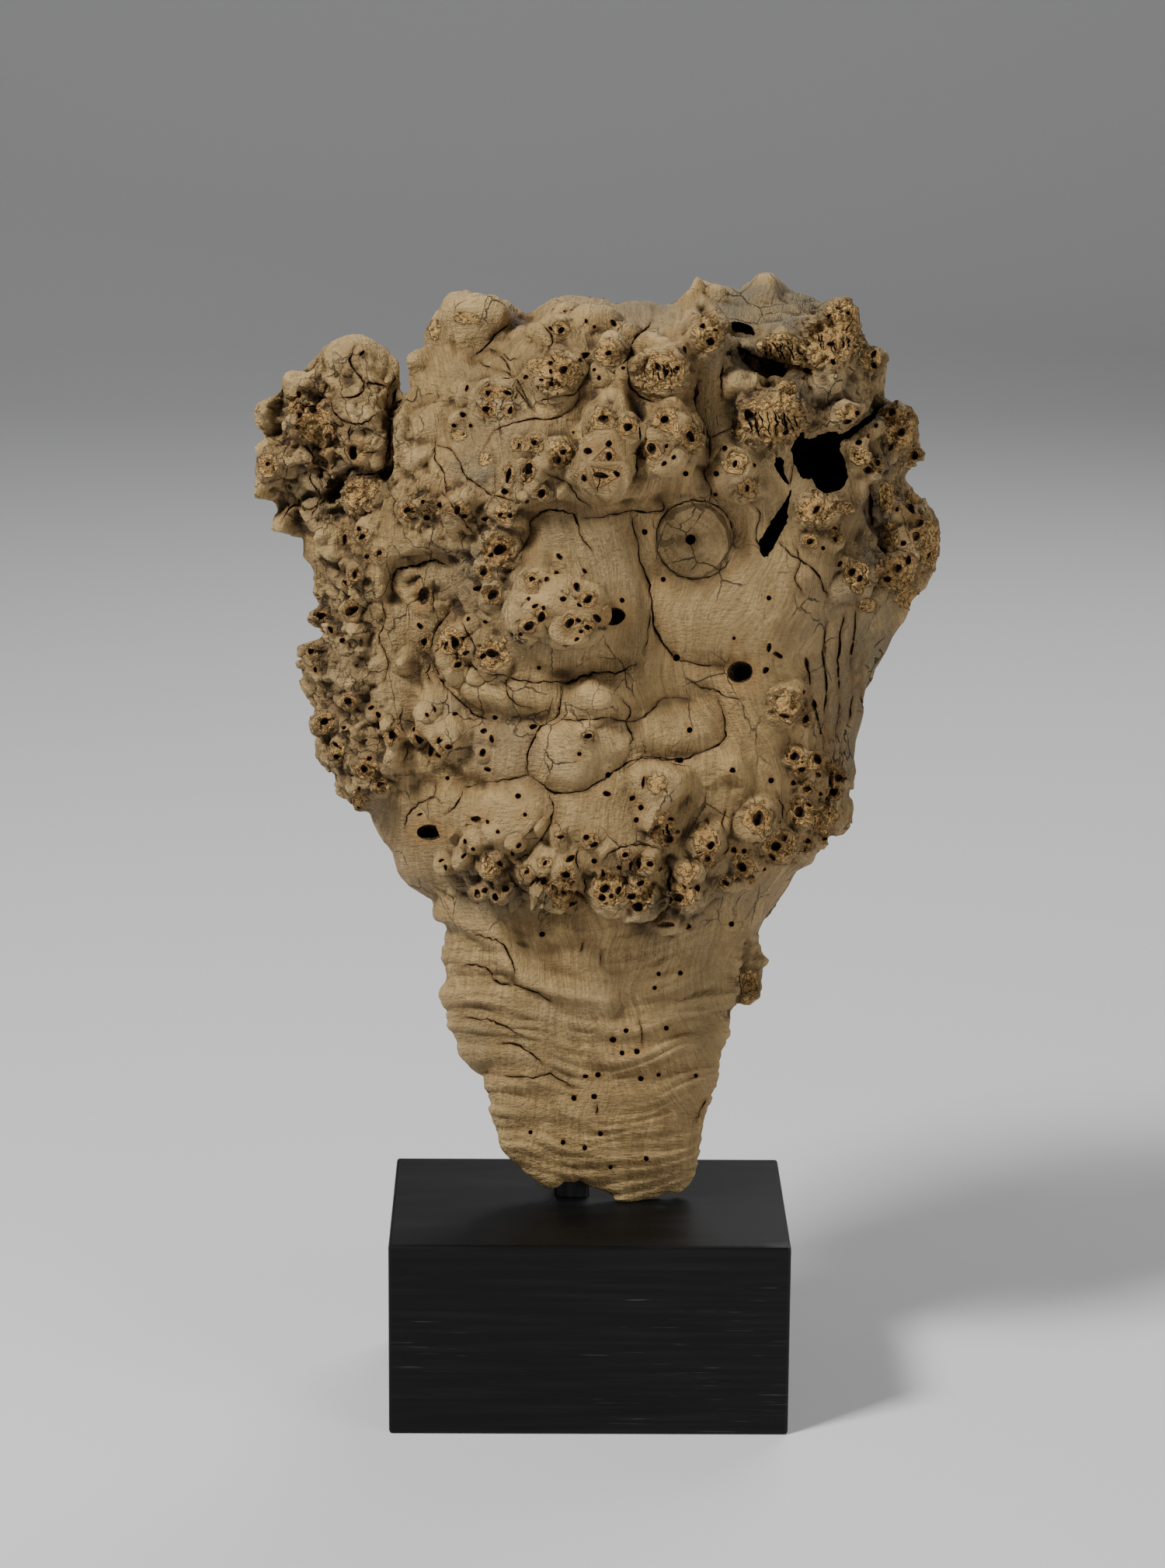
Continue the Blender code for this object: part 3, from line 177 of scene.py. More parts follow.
# Lie of the front: pixel across, pixel down, mm before y = 0
frontRelief = [
    (812, 1535, 2), (760, 1505, 4), (700, 1500, 1), (870, 1515, 0), (770, 1440, 7), (690, 1440, 2), (860, 1440, 3),
    (770, 1370, 9), (680, 1370, 5), (870, 1370, 6), (620, 1340, -4), (905, 1340, -3), (760, 1290, 12),
    (660, 1290, 6), (600, 1280, -5), (870, 1290, 8), (930, 1260, -5), (760, 1205, 12), (690, 1210, 8),
    (640, 1190, 10), (590, 1200, -3), (860, 1220, 12), (940, 1200, 0), (585, 1165, 0), (820, 1182, 15),
    (910, 1180, 13), (720, 1178, 12), (660, 1172, 10), (860, 1150, 33), (790, 1130, 35), (720, 1130, 33),
    (650, 1120, 27), (600, 1095, 20), (545, 1080, 5), (520, 1110, -6), (505, 1060, -8), (940, 1125, 28),
    (1000, 1090, 20), (1045, 1060, 8), (1080, 1050, -16), (1000, 1140, 0), (960, 1165, 4), (970, 1050, 29),
    (1035, 1000, 15), (1075, 1000, -6), (880, 1060, 35), (800, 1050, 38), (720, 1060, 36), (650, 1040, 32),
    (590, 1040, 18), (745, 970, 38), (845, 1005, 37), (890, 940, 34), (950, 990, 31), (1010, 930, 22),
    (1045, 930, 11), (1075, 930, -8), (640, 965, 27), (585, 945, 19), (545, 950, 12), (500, 980, 7),
    (450, 1000, -4), (440, 930, -7), (410, 900, -15), (480, 900, 5), (530, 880, 10), (600, 890, 22),
    (560, 850, 11), (640, 900, 27), (775, 895, 40), (840, 880, 33), (730, 865, 36), (660, 850, 34),
    (740, 800, 46), (680, 770, 42), (800, 770, 38), (620, 760, 27), (570, 800, 15), (540, 760, 8),
    (690, 700, 34), (770, 700, 36), (640, 708, 30), (840, 740, 30), (870, 810, 33), (930, 800, 34),
    (990, 800, 29), (940, 870, 27), (1000, 870, 24), (1050, 860, 14), (895, 695, 30), (955, 720, 29),
    (1040, 780, 22), (1080, 830, 2), (1110, 860, -14), (1130, 800, -14), (1100, 900, -16), (460, 830, 0),
    (430, 780, -8), (470, 760, 4), (420, 710, -8), (500, 710, 14), (560, 690, 26), (600, 650, 30),
    (520, 650, 14), (450, 660, -4), (560, 590, 16), (520, 560, 6), (640, 600, 34), (700, 630, 42),
    (720, 580, 42), (780, 610, 48), (790, 545, 44), (860, 600, 45), (860, 545, 40), (940, 610, 36),
    (930, 650, 32), (975, 640, 30), (960, 560, 30), (640, 530, 28), (700, 480, 34), (760, 500, 36),
    (780, 450, 30), (855, 480, 36), (860, 430, 24), (910, 430, 28), (915, 500, 30), (720, 425, 22),
    (760, 405, 14), (640, 470, 10), (690, 420, 8), (600, 420, -6), (650, 410, -8), (580, 480, 0),
    (560, 530, 2), (545, 455, -12), (480, 500, -2), (440, 490, -4), (400, 540, -6), (450, 560, 0),
    (480, 580, 0), (370, 600, -8), (420, 620, -8), (360, 540, -12), (370, 660, -14), (880, 395, 4),
    (930, 395, -4), (985, 385, -6), (1040, 410, 2), (985, 425, 8), (1080, 420, 4), (1010, 447, 18),
    (1075, 460, 16), (1115, 480, -2), (1000, 478, 10), (1000, 530, 32), (1050, 520, 18), (1100, 530, 14),
    (1150, 560, 2), (1115, 590, 12), (1060, 660, 24), (1105, 650, 12), (1150, 650, 2), (1170, 700, 4),
    (1192, 700, -8),
    (1150, 740, 0), (1100, 740, 14), (1060, 730, 24), (1020, 720, 28), (1122, 700, 4), (1150, 780, -18),
    (1010, 600, 28),
]

# Lie of the back, in the same way
backRelief = [
    (812, 1535, -4), (735, 1500, -4), (690, 1480, -6), (870, 1500, -7), (770, 1430, -3), (670, 1400, -7),
    (880, 1400, -6), (760, 1330, -3), (640, 1320, -10), (890, 1320, -8), (750, 1250, -3), (630, 1220, -11),
    (900, 1230, -9), (750, 1170, 0), (650, 1120, 2), (860, 1120, 6), (560, 1060, -14), (1000, 1060, -8),
    (750, 1000, 14), (900, 1000, 10), (620, 980, 2), (480, 960, -18), (1050, 900, -20), (740, 820, 18),
    (900, 800, 12), (600, 800, -2), (450, 820, -26), (1010, 790, -8), (740, 660, 16), (880, 650, 10),
    (600, 650, 0), (1000, 660, -22), (1120, 700, -34), (500, 680, -20), (780, 540, 12), (890, 530, 2),
    (660, 520, -2), (1040, 600, -33), (1020, 520, -30), (1110, 560, -32), (560, 540, -18), (430, 560, -34),
    (460, 490, -34),
    (720, 450, -8), (850, 440, -8), (960, 440, -28), (1050, 440, -32), (620, 430, -34),
]

# Buds: pixel across, pixel down, radius in pixels, height in mm, depth of the pit in its end in mm
buds = [
    (730, 401, 13, 3, 2), (713, 427, 19, 5, 2), (762, 414, 19, 4, 2), (720, 480, 31, 6, 3), (629, 506, 15, 2, 3),
    (654, 506, 13, 3, 1), (627, 529, 9, 1, 4), (655, 528, 9, 1, 2), (603, 501, 13, 2, 1), (590, 541, 14, 3, 2),
    (668, 573, 13, 3, 2), (690, 573, 15, 3, 2), (718, 588, 20, 5, 3), (680, 606, 12, 2, 6), (654, 611, 11, 2, 5),
    (697, 635, 13, 3, 3), (650, 662, 16, 3, 2), (586, 650, 22, 5, 2), (525, 657, 16, 4, 3), (552, 655, 14, 3, 1),
    (488, 710, 14, 3, 2), (470, 690, 16, 3, 2), (642, 708, 24, 4, 5), (721, 717, 10, 2, 2), (685, 747, 11, 2, 3),
    (706, 744, 9, 2, 2), (624, 737, 14, 4, 2), (643, 742, 10, 4, 0), (634, 766, 16, 5, 4), (457, 740, 12, 4, 2),
    (445, 751, 9, 3, 1), (542, 766, 17, 2, 7), (727, 770, 13, 3, 2), (755, 771, 18, 4, 3), (696, 790, 12, 2, 4),
    (678, 806, 13, 3, 5), (736, 804, 12, 3, 4), (752, 812, 14, 3, 4), (584, 828, 24, 5, 5), (589, 854, 13, 6, 2),
    (631, 842, 23, 4, 2), (453, 786, 13, 5, 3), (413, 793, 12, 5, 2), (427, 813, 11, 4, 2), (465, 815, 10, 6, 0),
    (523, 853, 14, 8, 0), (402, 839, 13, 5, 1), (408, 862, 14, 5, 1), (464, 878, 14, 7, 0), (450, 904, 11, 3, 4),
    (480, 912, 10, 2, 3), (416, 929, 16, 5, 2), (447, 939, 9, 3, 1), (464, 943, 11, 4, 0), (507, 949, 11, 4, 4),
    (554, 920, 22, 6, 1), (537, 949, 12, 3, 3), (584, 943, 24, 6, 1), (576, 961, 10, 3, 3), (621, 970, 10, 2, 3),
    (632, 951, 9, 2, 1), (475, 977, 9, 2, 2), (466, 991, 16, 4, 2), (490, 1012, 13, 3, 2), (509, 977, 18, 5, 0),
    (433, 975, 11, 4, 2), (462, 1015, 14, 4, 2), (757, 947, 10, 2, 2), (775, 902, 18, 4, 0), (951, 599, 21, 4, 2),
    (966, 630, 17, 4, 3), (887, 565, 19, 6, 4), (858, 543, 18, 6, 4), (841, 571, 14, 4, 2), (865, 590, 9, 3, 1),
    (853, 597, 8, 2, 1), (779, 540, 19, 6, 4), (808, 550, 18, 5, 3), (786, 580, 17, 5, 2), (762, 580, 12, 4, 2),
    (771, 612, 24, 6, 4), (755, 557, 9, 2, 1), (1013, 906, 24, 4, 3), (1037, 924, 12, 3, 2), (1024, 973, 15, 5, 3),
    (1031, 992, 13, 4, 2), (1035, 1012, 13, 3, 1), (783, 454, 21, 6, 1), (770, 488, 9, 2, 1), (836, 443, 13, 4, 1),
    (882, 450, 10, 4, 0), (855, 480, 38, 9, 2), (911, 433, 25, 7, 3), (1006, 443, 30, 6, 1), (1072, 454, 30, 7, 2),
    (1076, 409, 26, 6, 2), (996, 533, 38, 8, 2), (1013, 502, 18, 5, 1), (1089, 533, 17, 5, 2), (1124, 465, 18, 5, 1),
    (1154, 535, 20, 5, 2), (1158, 560, 20, 5, 3), (1127, 552, 14, 3, 3), (1103, 588, 18, 6, 2), (1127, 598, 12, 3, 3),
    (1106, 626, 15, 4, 0), (1177, 585, 12, 3, 3), (1051, 657, 26, 5, 2), (1043, 696, 13, 3, 2), (1075, 698, 11, 3, 1),
    (1102, 741, 25, 6, 3), (1082, 725, 9, 2, 2), (1150, 735, 20, 5, 4), (1172, 700, 40, 6, 0), (1178, 660, 17, 0, 8),
    (942, 990, 17, 4, 1), (974, 1053, 21, 6, 5), (1031, 1045, 19, 6, 3), (1055, 1056, 18, 4, 2), (1075, 1008, 17, 5, 3),
    (1066, 1035, 12, 4, 2), (846, 1012, 27, 6, 1), (857, 1066, 18, 3, 3), (911, 1080, 22, 6, 2), (1001, 1089, 22, 6, 5),
    (961, 1115, 18, 5, 4), (932, 1136, 11, 4, 2), (885, 1122, 15, 7, 2), (880, 1145, 22, 10, 4), (836, 1113, 13, 4, 3),
    (822, 1138, 14, 5, 1), (822, 1160, 18, 8, 4), (856, 1188, 16, 5, 2), (787, 1147, 27, 10, 3), (718, 1148, 20, 8, 3),
    (700, 1112, 15, 5, 2), (700, 1134, 12, 5, 1), (679, 1123, 12, 4, 3), (728, 1127, 16, 5, 2), (721, 1078, 13, 4, 1),
    (760, 1083, 15, 4, 3), (805, 1101, 12, 3, 3), (633, 1115, 18, 6, 3), (613, 1085, 14, 4, 2), (598, 1101, 14, 5, 2),
    (641, 1073, 10, 2, 0), (668, 1088, 9, 3, 2), (651, 1143, 14, 7, 3), (627, 1140, 14, 7, 0), (575, 1113, 13, 4, 2),
    (1048, 1080, 14, 5, 1), (1064, 836, 11, 0, 3), (895, 695, 15, 0, 3), (884, 1029, 12, 0, 3), (805, 1017, 11, 0, 3),
    (455, 461, 44, 5, 0), (380, 497, 18, 5, 0), (345, 530, 16, 5, 0), (356, 556, 9, 0, 5), (472, 548, 42, 7, 0),
    (457, 580, 17, 1, 6), (404, 545, 24, 6, 4), (388, 560, 14, 4, 2), (413, 594, 14, 2, 8), (352, 600, 26, 6, 2),
    (345, 628, 12, 4, 2), (466, 632, 26, 5, 3), (416, 632, 16, 4, 3), (370, 673, 14, 5, 0), (413, 671, 24, 5, 0),
    (430, 705, 20, 4, 2), (605, 408, 32, 6, 0), (632, 402, 20, 3, 2), (580, 441, 14, 0, 4), (536, 468, 12, 4, 0),
    (545, 550, 26, 3, 0), (592, 500, 10, 2, 1),
    (900, 372, 12, 4, 0), (925, 380, 10, 3, 0), (985, 372, 22, 5, 0), (965, 1270, 12, 5, 0), (975, 1235, 10, 4, 0),
]

# Clefts between the lobes: half width in pixels, depth in mm, then the pixels they run through
clefts = [
    (7, 7, [(512, 500), (504, 536), (500, 578), (489, 609), (455, 612), (440, 622), (420, 640)]),
    (8, 3.5, [(508, 770), (503, 740), (526, 726), (551, 722), (578, 727)]),
    (6, 4, [(415, 560), (405, 598), (432, 634), (400, 640)]),
    (8, 8, [(950, 455), (972, 471), (1008, 482), (1032, 486)]),
    (5, 5, [(905, 395), (925, 420), (955, 425), (975, 432)]),
    (6, 5, [(1137, 514), (1127, 531), (1106, 547), (1088, 560)]),
    (6, 4, [(1119, 622), (1122, 667), (1131, 697), (1138, 725), (1120, 770)]),
    (7, 5, [(863, 1110), (862, 1140), (868, 1165), (850, 1175)]),
    (4, 4, [(938, 1306), (950, 1288), (955, 1262), (965, 1215)]),
    (17, 2.6, [(660, 700), (700, 668), (760, 670), (815, 668), (850, 656)]),
    (15, 2.6, [(640, 826), (676, 858), (728, 868), (784, 860), (812, 828)]),
    (11, 2.0, [(566, 862), (590, 902), (630, 928), (690, 930)]),
    (10, 2.2, [(822, 540), (822, 570), (818, 612)]),
    (10, 1.8, [(902, 530), (911, 560), (908, 604)]),
    (9, 2.4, [(548, 962), (560, 985), (580, 1004), (610, 1010)]),
]

# Seams between the smooth plates, which swell a little from seam to seam
seams = [
    [(811, 450), (808, 478), (818, 505), (848, 519), (890, 513), (898, 491), (890, 468), (872, 447)],
    [(822, 530), (824, 560), (820, 595), (818, 618)],
    [(896, 500), (900, 530), (908, 550), (913, 570), (910, 600), (905, 625)],
    [(656, 728), (680, 696), (684, 673), (702, 658), (732, 661), (765, 665), (812, 659), (850, 657)],
    [(678, 404), (655, 416), (640, 434), (624, 450), (608, 458)],
    [(620, 866), (676, 877), (723, 879), (768, 866), (814, 857)],
    [(812, 664), (822, 715), (836, 754), (842, 800), (856, 834), (895, 855), (930, 858)],
    [(723, 880), (720, 910), (700, 935), (686, 953), (681, 998), (712, 1021), (745, 1021), (785, 998),
        (805, 984), (833, 976), (870, 978)],
    [(716, 925), (777, 925), (812, 927), (844, 908), (886, 900), (922, 897), (934, 938), (928, 956),
        (873, 978)],
    [(707, 1021), (712, 1041), (707, 1063), (693, 1085), (664, 1105)],
    [(582, 786), (562, 812), (555, 836), (562, 864), (593, 904), (629, 926), (690, 925)],
    [(848, 741), (858, 650), (895, 642), (930, 655), (946, 695), (930, 735), (895, 748), (862, 735)],
    [(1038, 848), (1047, 906), (1057, 945), (1062, 985)],
    [(540, 1008), (560, 1010), (575, 1000), (600, 1014), (656, 1004), (684, 998)],
]

# Folds across the neck: height in mm, then the crest's pixels
neckFolds = [
    (3.5, [(572, 1172), (610, 1186), (645, 1210), (665, 1240), (720, 1275), (780, 1290)]),
    (2.0, [(690, 1205), (760, 1200), (840, 1213), (920, 1195), (960, 1180)]),
    (1.6, [(580, 1230), (640, 1238), (760, 1235), (850, 1246), (930, 1215)]),
    (1.8, [(680, 1262), (760, 1268), (850, 1268), (940, 1240)]),
    (2.2, [(578, 1280), (650, 1285), (720, 1310), (800, 1325), (880, 1300), (935, 1285)]),
    (2.0, [(590, 1318), (660, 1322), (740, 1345), (800, 1362), (880, 1345), (925, 1330)]),
    (1.8, [(600, 1352), (680, 1358), (740, 1375), (760, 1405), (830, 1412), (905, 1385)]),
    (1.6, [(632, 1395), (700, 1392), (750, 1430), (830, 1440), (900, 1415)]),
    (1.4, [(640, 1430), (720, 1432), (790, 1462), (880, 1455)]),
    (1.2, [(655, 1475), (730, 1470), (800, 1490), (880, 1485)]),
]

# Small dark pits: pixel across, pixel down, radius in pixels, or half width and half height
pits = [
    (728, 400, 3), (709, 423, 3), (723, 425, 4), (755, 414, 3), (765, 421, 2.5), (790, 416, 4), (709, 468, 3),
    (709, 478, 3), (726, 476, 5), (697, 489, 2.5), (710, 494, 3.5), (692, 500, 2.5), (676, 486, 4), (753, 457, 5),
    (747, 464, 3), (802, 474, 3), (771, 487, 3), (783, 455, 4), (601, 500, 4), (630, 506, 5), (653, 506, 4),
    (627, 529, 6), (657, 528, 4), (596, 534, 4), (584, 548, 3), (606, 548, 3), (668, 573, 4), (689, 570, 5),
    (717, 592, 6), (725, 582, 4), (655, 612, 4, 8), (680, 606, 5, 10), (697, 636, 5), (650, 633, 4), (678, 647, 3),
    (644, 663, 3.5), (657, 664, 3.5), (624, 668, 4), (525, 657, 5), (550, 667, 4), (544, 646, 3), (567, 651, 5),
    (589, 657, 5), (598, 665, 4), (462, 681, 3), (466, 691, 4), (444, 695, 3, 6), (488, 712, 4), (472, 717, 3),
    (777, 540, 7), (808, 550, 6), (784, 572, 5), (757, 581, 4, 7), (784, 588, 5), (752, 616, 4), (773, 612, 9, 5),
    (794, 610, 4), (738, 557, 2), (856, 540, 6), (888, 562, 7), (839, 578, 5, 8), (858, 574, 3), (867, 589, 3),
    (855, 597, 4), (848, 472, 5), (858, 480, 4), (872, 474, 4), (905, 420, 4), (915, 440, 5), (922, 425, 3),
    (882, 450, 2, 6), (946, 597, 4), (962, 629, 4), (720, 717, 4), (717, 738, 4), (704, 746, 3.5), (685, 747, 6),
    (753, 735, 3), (743, 755, 5), (725, 771, 4), (757, 772, 6), (746, 779, 3), (681, 771, 2.5), (689, 780, 4),
    (700, 783, 3), (697, 795, 6), (680, 807, 7), (670, 817, 3), (734, 803, 5, 9), (745, 799, 3.5), (757, 808, 4.5),
    (748, 813, 3), (769, 797, 6), (743, 823, 3), (545, 768, 9, 13), (541, 807, 4), (548, 827, 6), (574, 832, 4),
    (586, 827, 7), (598, 820, 4), (599, 841, 4), (589, 856, 5), (634, 842, 7), (622, 845, 4), (623, 737, 5),
    (635, 765, 7), (615, 758, 5), (603, 797, 3), (625, 801, 3), (642, 709, 8), (632, 715, 4), (453, 786, 7),
    (413, 793, 5), (401, 839, 4), (457, 740, 5), (446, 751, 4), (426, 811, 4), (441, 825, 4), (406, 862, 4),
    (450, 904, 7), (478, 911, 3.5), (487, 920, 4), (418, 929, 5), (443, 937, 3), (506, 948, 7), (433, 960, 4),
    (434, 975, 4), (475, 977, 4), (469, 991, 5), (490, 1010, 5), (462, 1016, 3), (462, 1040, 3), (385, 534, 4),
    (404, 528, 5), (424, 565, 5, 10), (413, 595, 11), (385, 508, 4), (466, 455, 3), (345, 597, 3), (385, 645, 2),
    (457, 581, 11), (560, 913, 3), (550, 921, 3), (534, 939, 4), (540, 951, 6), (586, 919, 3), (566, 953, 4),
    (577, 962, 4.5), (565, 972, 4), (555, 967, 4, 8), (623, 941, 3.5),
    (633, 952, 4.5), (621, 970, 5), (628, 991, 4), (686, 936, 6, 3), (637, 924, 6, 3), (540, 1049, 4, 2),
    (757, 948, 4), (781, 1022, 5, 4), (612, 1055, 7, 5), (628, 1058, 3), (641, 1071, 3), (668, 1089, 4),
    (660, 1099, 3), (599, 1084, 3), (609, 1094, 3), (597, 1102, 3.5), (568, 1108, 3), (574, 1117, 3), (644, 1113, 4),
    (624, 1147, 4), (651, 1144, 5), (614, 1151, 6), (639, 1155, 5), (722, 1078, 5, 2), (755, 1078, 4.5),
    (765, 1088, 5), (702, 1111, 3), (678, 1123, 4), (700, 1135, 4.5), (685, 1135, 3), (735, 1105, 5),
    (728, 1126, 5), (737, 1137, 4), (714, 1145, 5), (725, 1149, 3), (738, 1162, 8, 7), (778, 1144, 6),
    (775, 1156, 4.5), (787, 1154, 3), (797, 1146, 4), (777, 1124, 4.5), (805, 1101, 4), (822, 1111, 3, 9),
    (812, 1115, 3, 7), (797, 1117, 3), (837, 1113, 4), (850, 1119, 3), (825, 1137, 4), (813, 1155, 5),
    (821, 1167, 6), (856, 1190, 11, 4), (887, 1194, 4), (881, 1141, 4.5), (873, 1157, 7), (898, 1144, 4.5),
    (862, 1054, 5), (845, 1068, 7), (861, 1081, 6), (873, 1071, 3), (828, 1008, 3, 7), (814, 1028, 4),
    (875, 979, 6, 4), (944, 992, 4), (976, 1053, 9), (916, 1089, 5), (911, 1107, 4), (945, 1095, 4),
    (955, 1117, 6), (934, 1137, 4), (999, 1090, 7), (1010, 1079, 4), (994, 1104, 4), (966, 1133, 6), (983, 1119, 4.5),
    (1031, 1045, 7), (1041, 1037, 3), (1051, 1065, 4.5), (1052, 1045, 4), (1068, 1048, 3), (1062, 1080, 3),
    (1039, 1082, 4), (1037, 1094, 4), (1023, 973, 6), (1031, 991, 5), (1022, 1008, 4), (1040, 1016, 5),
    (1051, 978, 7), (1053, 997, 4), (1068, 989, 5), (1080, 1001, 6), (1072, 1020, 6), (1055, 1022, 4),
    (1009, 922, 6, 3), (1037, 926, 5), (1048, 908, 5), (1035, 892, 6, 3), (1039, 855, 3, 9), (1003, 844, 5),
    (986, 863, 4), (990, 834, 4), (1070, 443, 5), (1073, 467, 4), (1080, 397, 3), (1092, 403, 3), (1067, 407, 3),
    (1125, 456, 4), (1125, 471, 4), (1040, 475, 6), (1148, 531, 5), (1173, 535, 4, 7), (1160, 557, 6),
    (1128, 548, 3), (1148, 575, 4), (1177, 586, 6), (1105, 570, 4), (1130, 596, 4), (1117, 605, 4.5), (1091, 543, 4),
    (965, 536, 7), (1012, 557, 5), (1051, 657, 5), (1043, 698, 5), (1075, 694, 3), (1075, 680, 3), (1107, 745, 4),
    (1097, 736, 5), (1082, 726, 4), (1142, 746, 5), (1156, 733, 5), (1168, 751, 4), (1196, 715, 5),
    (1155, 656, 3), (1172, 655, 6, 9), (1183, 672, 5, 8), (1180, 690, 6), (1163, 700, 4), (1188, 740, 4),
    (1170, 722, 5),
]

# Beetle holes, round and clean: pixel across, pixel down, radius in pixels, or half width and half height
beetleHoles = [
    (933, 577, 4), (971, 599, 3), (922, 610, 4), (883, 610, 4), (921, 637, 3), (830, 685, 4), (854, 746, 3.5),
    (801, 773, 3.5), (990, 770, 3.5), (945, 822, 2.5), (871, 847, 5), (694, 860, 3), (888, 940, 4), (746, 971, 3),
    (783, 998, 4), (667, 1025, 4), (676, 1049, 3), (825, 1040, 4), (819, 1056, 4), (765, 1109, 4), (993, 1005, 4),
    (958, 1096, 3.5), (1060, 706, 3), (1104, 532, 3.5), (1119, 561, 4), (765, 476, 2.5), (576, 1002, 3),
    (698, 1203, 4), (848, 1254, 3), (876, 1253, 3.5), (843, 1272, 3), (806, 1327, 3.5), (789, 1339, 5, 4),
    (801, 1356, 3.5), (820, 1354, 4), (858, 1324, 3.5), (754, 1386, 4, 2.5), (770, 1384, 4), (825, 1389, 4),
    (848, 1384, 3), (896, 1385, 3), (739, 1414, 4), (765, 1412, 4), (683, 1458, 3), (725, 1471, 3.5), (773, 1460, 3.5),
    (753, 1478, 3.5), (832, 1492, 3.5), (786, 1503, 3), (942, 1190, 4),
]
wideBorings = [                   # the large oval ones
    (551, 1072, 18, 11), (791, 794, 17, 12), (953, 866, 17, 15), (889, 695, 7, 7),
]

# Ends of knots, rough and orange: pixel across, pixel down, half width, half height
knotEnds = [
    (913, 431, 20, 26), (851, 478, 34, 22), (1010, 450, 34, 18), (1072, 440, 36, 28), (1086, 405, 22, 18),
    (996, 540, 40, 32), (1013, 502, 14, 14), (1148, 531, 12, 12), (1173, 535, 10, 12), (1160, 562, 18, 17),
    (1106, 586, 13, 13), (1051, 657, 22, 22), (1043, 698, 11, 11), (1103, 741, 20, 20), (1196, 700, 15, 34),
    (1152, 738, 26, 22), (1168, 770, 16, 12),
    (1011, 909, 20, 20), (1023, 973, 13, 13), (855, 1068, 17, 22), (976, 1053, 19, 19), (1031, 1045, 18, 18),
    (1060, 1053, 17, 17), (1004, 1089, 22, 20), (787, 1144, 24, 22), (724, 1150, 16, 20), (825, 1151, 15, 22),
    (886, 1122, 14, 12), (878, 1152, 17, 15), (633, 1116, 15, 15), (642, 709, 22, 20), (584, 828, 21, 19),
    (634, 842, 21, 19), (777, 540, 16, 17), (808, 550, 13, 13), (783, 586, 13, 11), (772, 613, 23, 13),
    (857, 540, 16, 15), (888, 562, 17, 18), (839, 578, 12, 14), (721, 586, 16, 17), (947, 597, 16, 14),
    (963, 630, 13, 12), (720, 479, 26, 24), (783, 455, 16, 15), (404, 548, 24, 24), (463, 632, 24, 20),
    (959, 1116, 15, 16), (911, 1086, 16, 26), (847, 1009, 13, 13), (1051, 979, 11, 11), (1068, 990, 9, 9),
    (1080, 1000, 9, 10), (1073, 1020, 10, 9), (470, 990, 13, 13), (418, 929, 12, 13), (525, 657, 12, 12),
    (589, 855, 9, 8), (548, 827, 8, 8), (723, 424, 13, 8), (710, 494, 12, 9), (630, 506, 11, 9), (653, 506, 9, 8),
    (627, 529, 11, 9), (668, 573, 10, 9), (689, 572, 12, 11), (697, 634, 10, 10), (680, 607, 9, 13),
    (655, 612, 8, 11), (650, 660, 12, 12), (592, 656, 16, 10), (550, 660, 13, 9), (466, 690, 12, 9),
    (488, 712, 11, 8), (634, 765, 12, 12), (623, 737, 11, 9), (685, 747, 9, 9), (757, 771, 12, 11),
    (680, 806, 11, 10), (735, 803, 10, 11), (756, 808, 9, 9), (697, 792, 9, 9), (757, 948, 8, 7), (722, 1078, 9, 7),
    (763, 1084, 11, 10), (805, 1101, 9, 8), (822, 1110, 9, 11), (837, 1113, 8, 9), (701, 1111, 9, 8),
    (700, 1134, 10, 9), (729, 1127, 11, 9), (679, 1123, 9, 8), (912, 1107, 8, 8), (934, 1137, 8, 8),
    (1031, 991, 10, 9), (1040, 1014, 10, 9), (1037, 926, 9, 8), (1062, 1079, 9, 8), (1039, 1087, 8, 10),
    (453, 785, 11, 10), (413, 793, 9, 8), (457, 741, 9, 9), (402, 839, 9, 8), (450, 904, 9, 9), (506, 948, 9, 10),
    (434, 968, 9, 12), (490, 1011, 10, 9), (462, 1030, 9, 14), (345, 600, 13, 16), (381, 520, 12, 12),
    (1122, 464, 12, 14), (1127, 598, 11, 10), (1177, 586, 9, 11), (1176, 640, 12, 10),
    (965, 1268, 12, 22), (600, 410, 16, 8), (560, 425, 8, 12),
    (1091, 531, 15, 11), (1106, 586, 12, 11), (1152, 548, 12, 15), (1142, 640, 11, 20), (1146, 690, 10, 18),
    (1078, 694, 8, 7), (1084, 654, 17, 9), (1118, 780, 12, 8), (952, 560, 9, 8), (690, 470, 11, 9), (640, 505, 10, 8),
    (655, 530, 9, 8), (590, 560, 9, 8), (625, 590, 10, 8), (720, 590, 11, 8),
]

# Knots whose end is cut by deep grooves: across, down, half width, half height, how many, lean in pixels
combs = [
    (1008, 452, 26, 13, 8, 5), (994, 545, 32, 22, 10, 8), (1072, 440, 22, 17, 6, 4), (851, 478, 22, 13, 6, 3),
    (858, 1068, 10, 14, 3, 2),
]

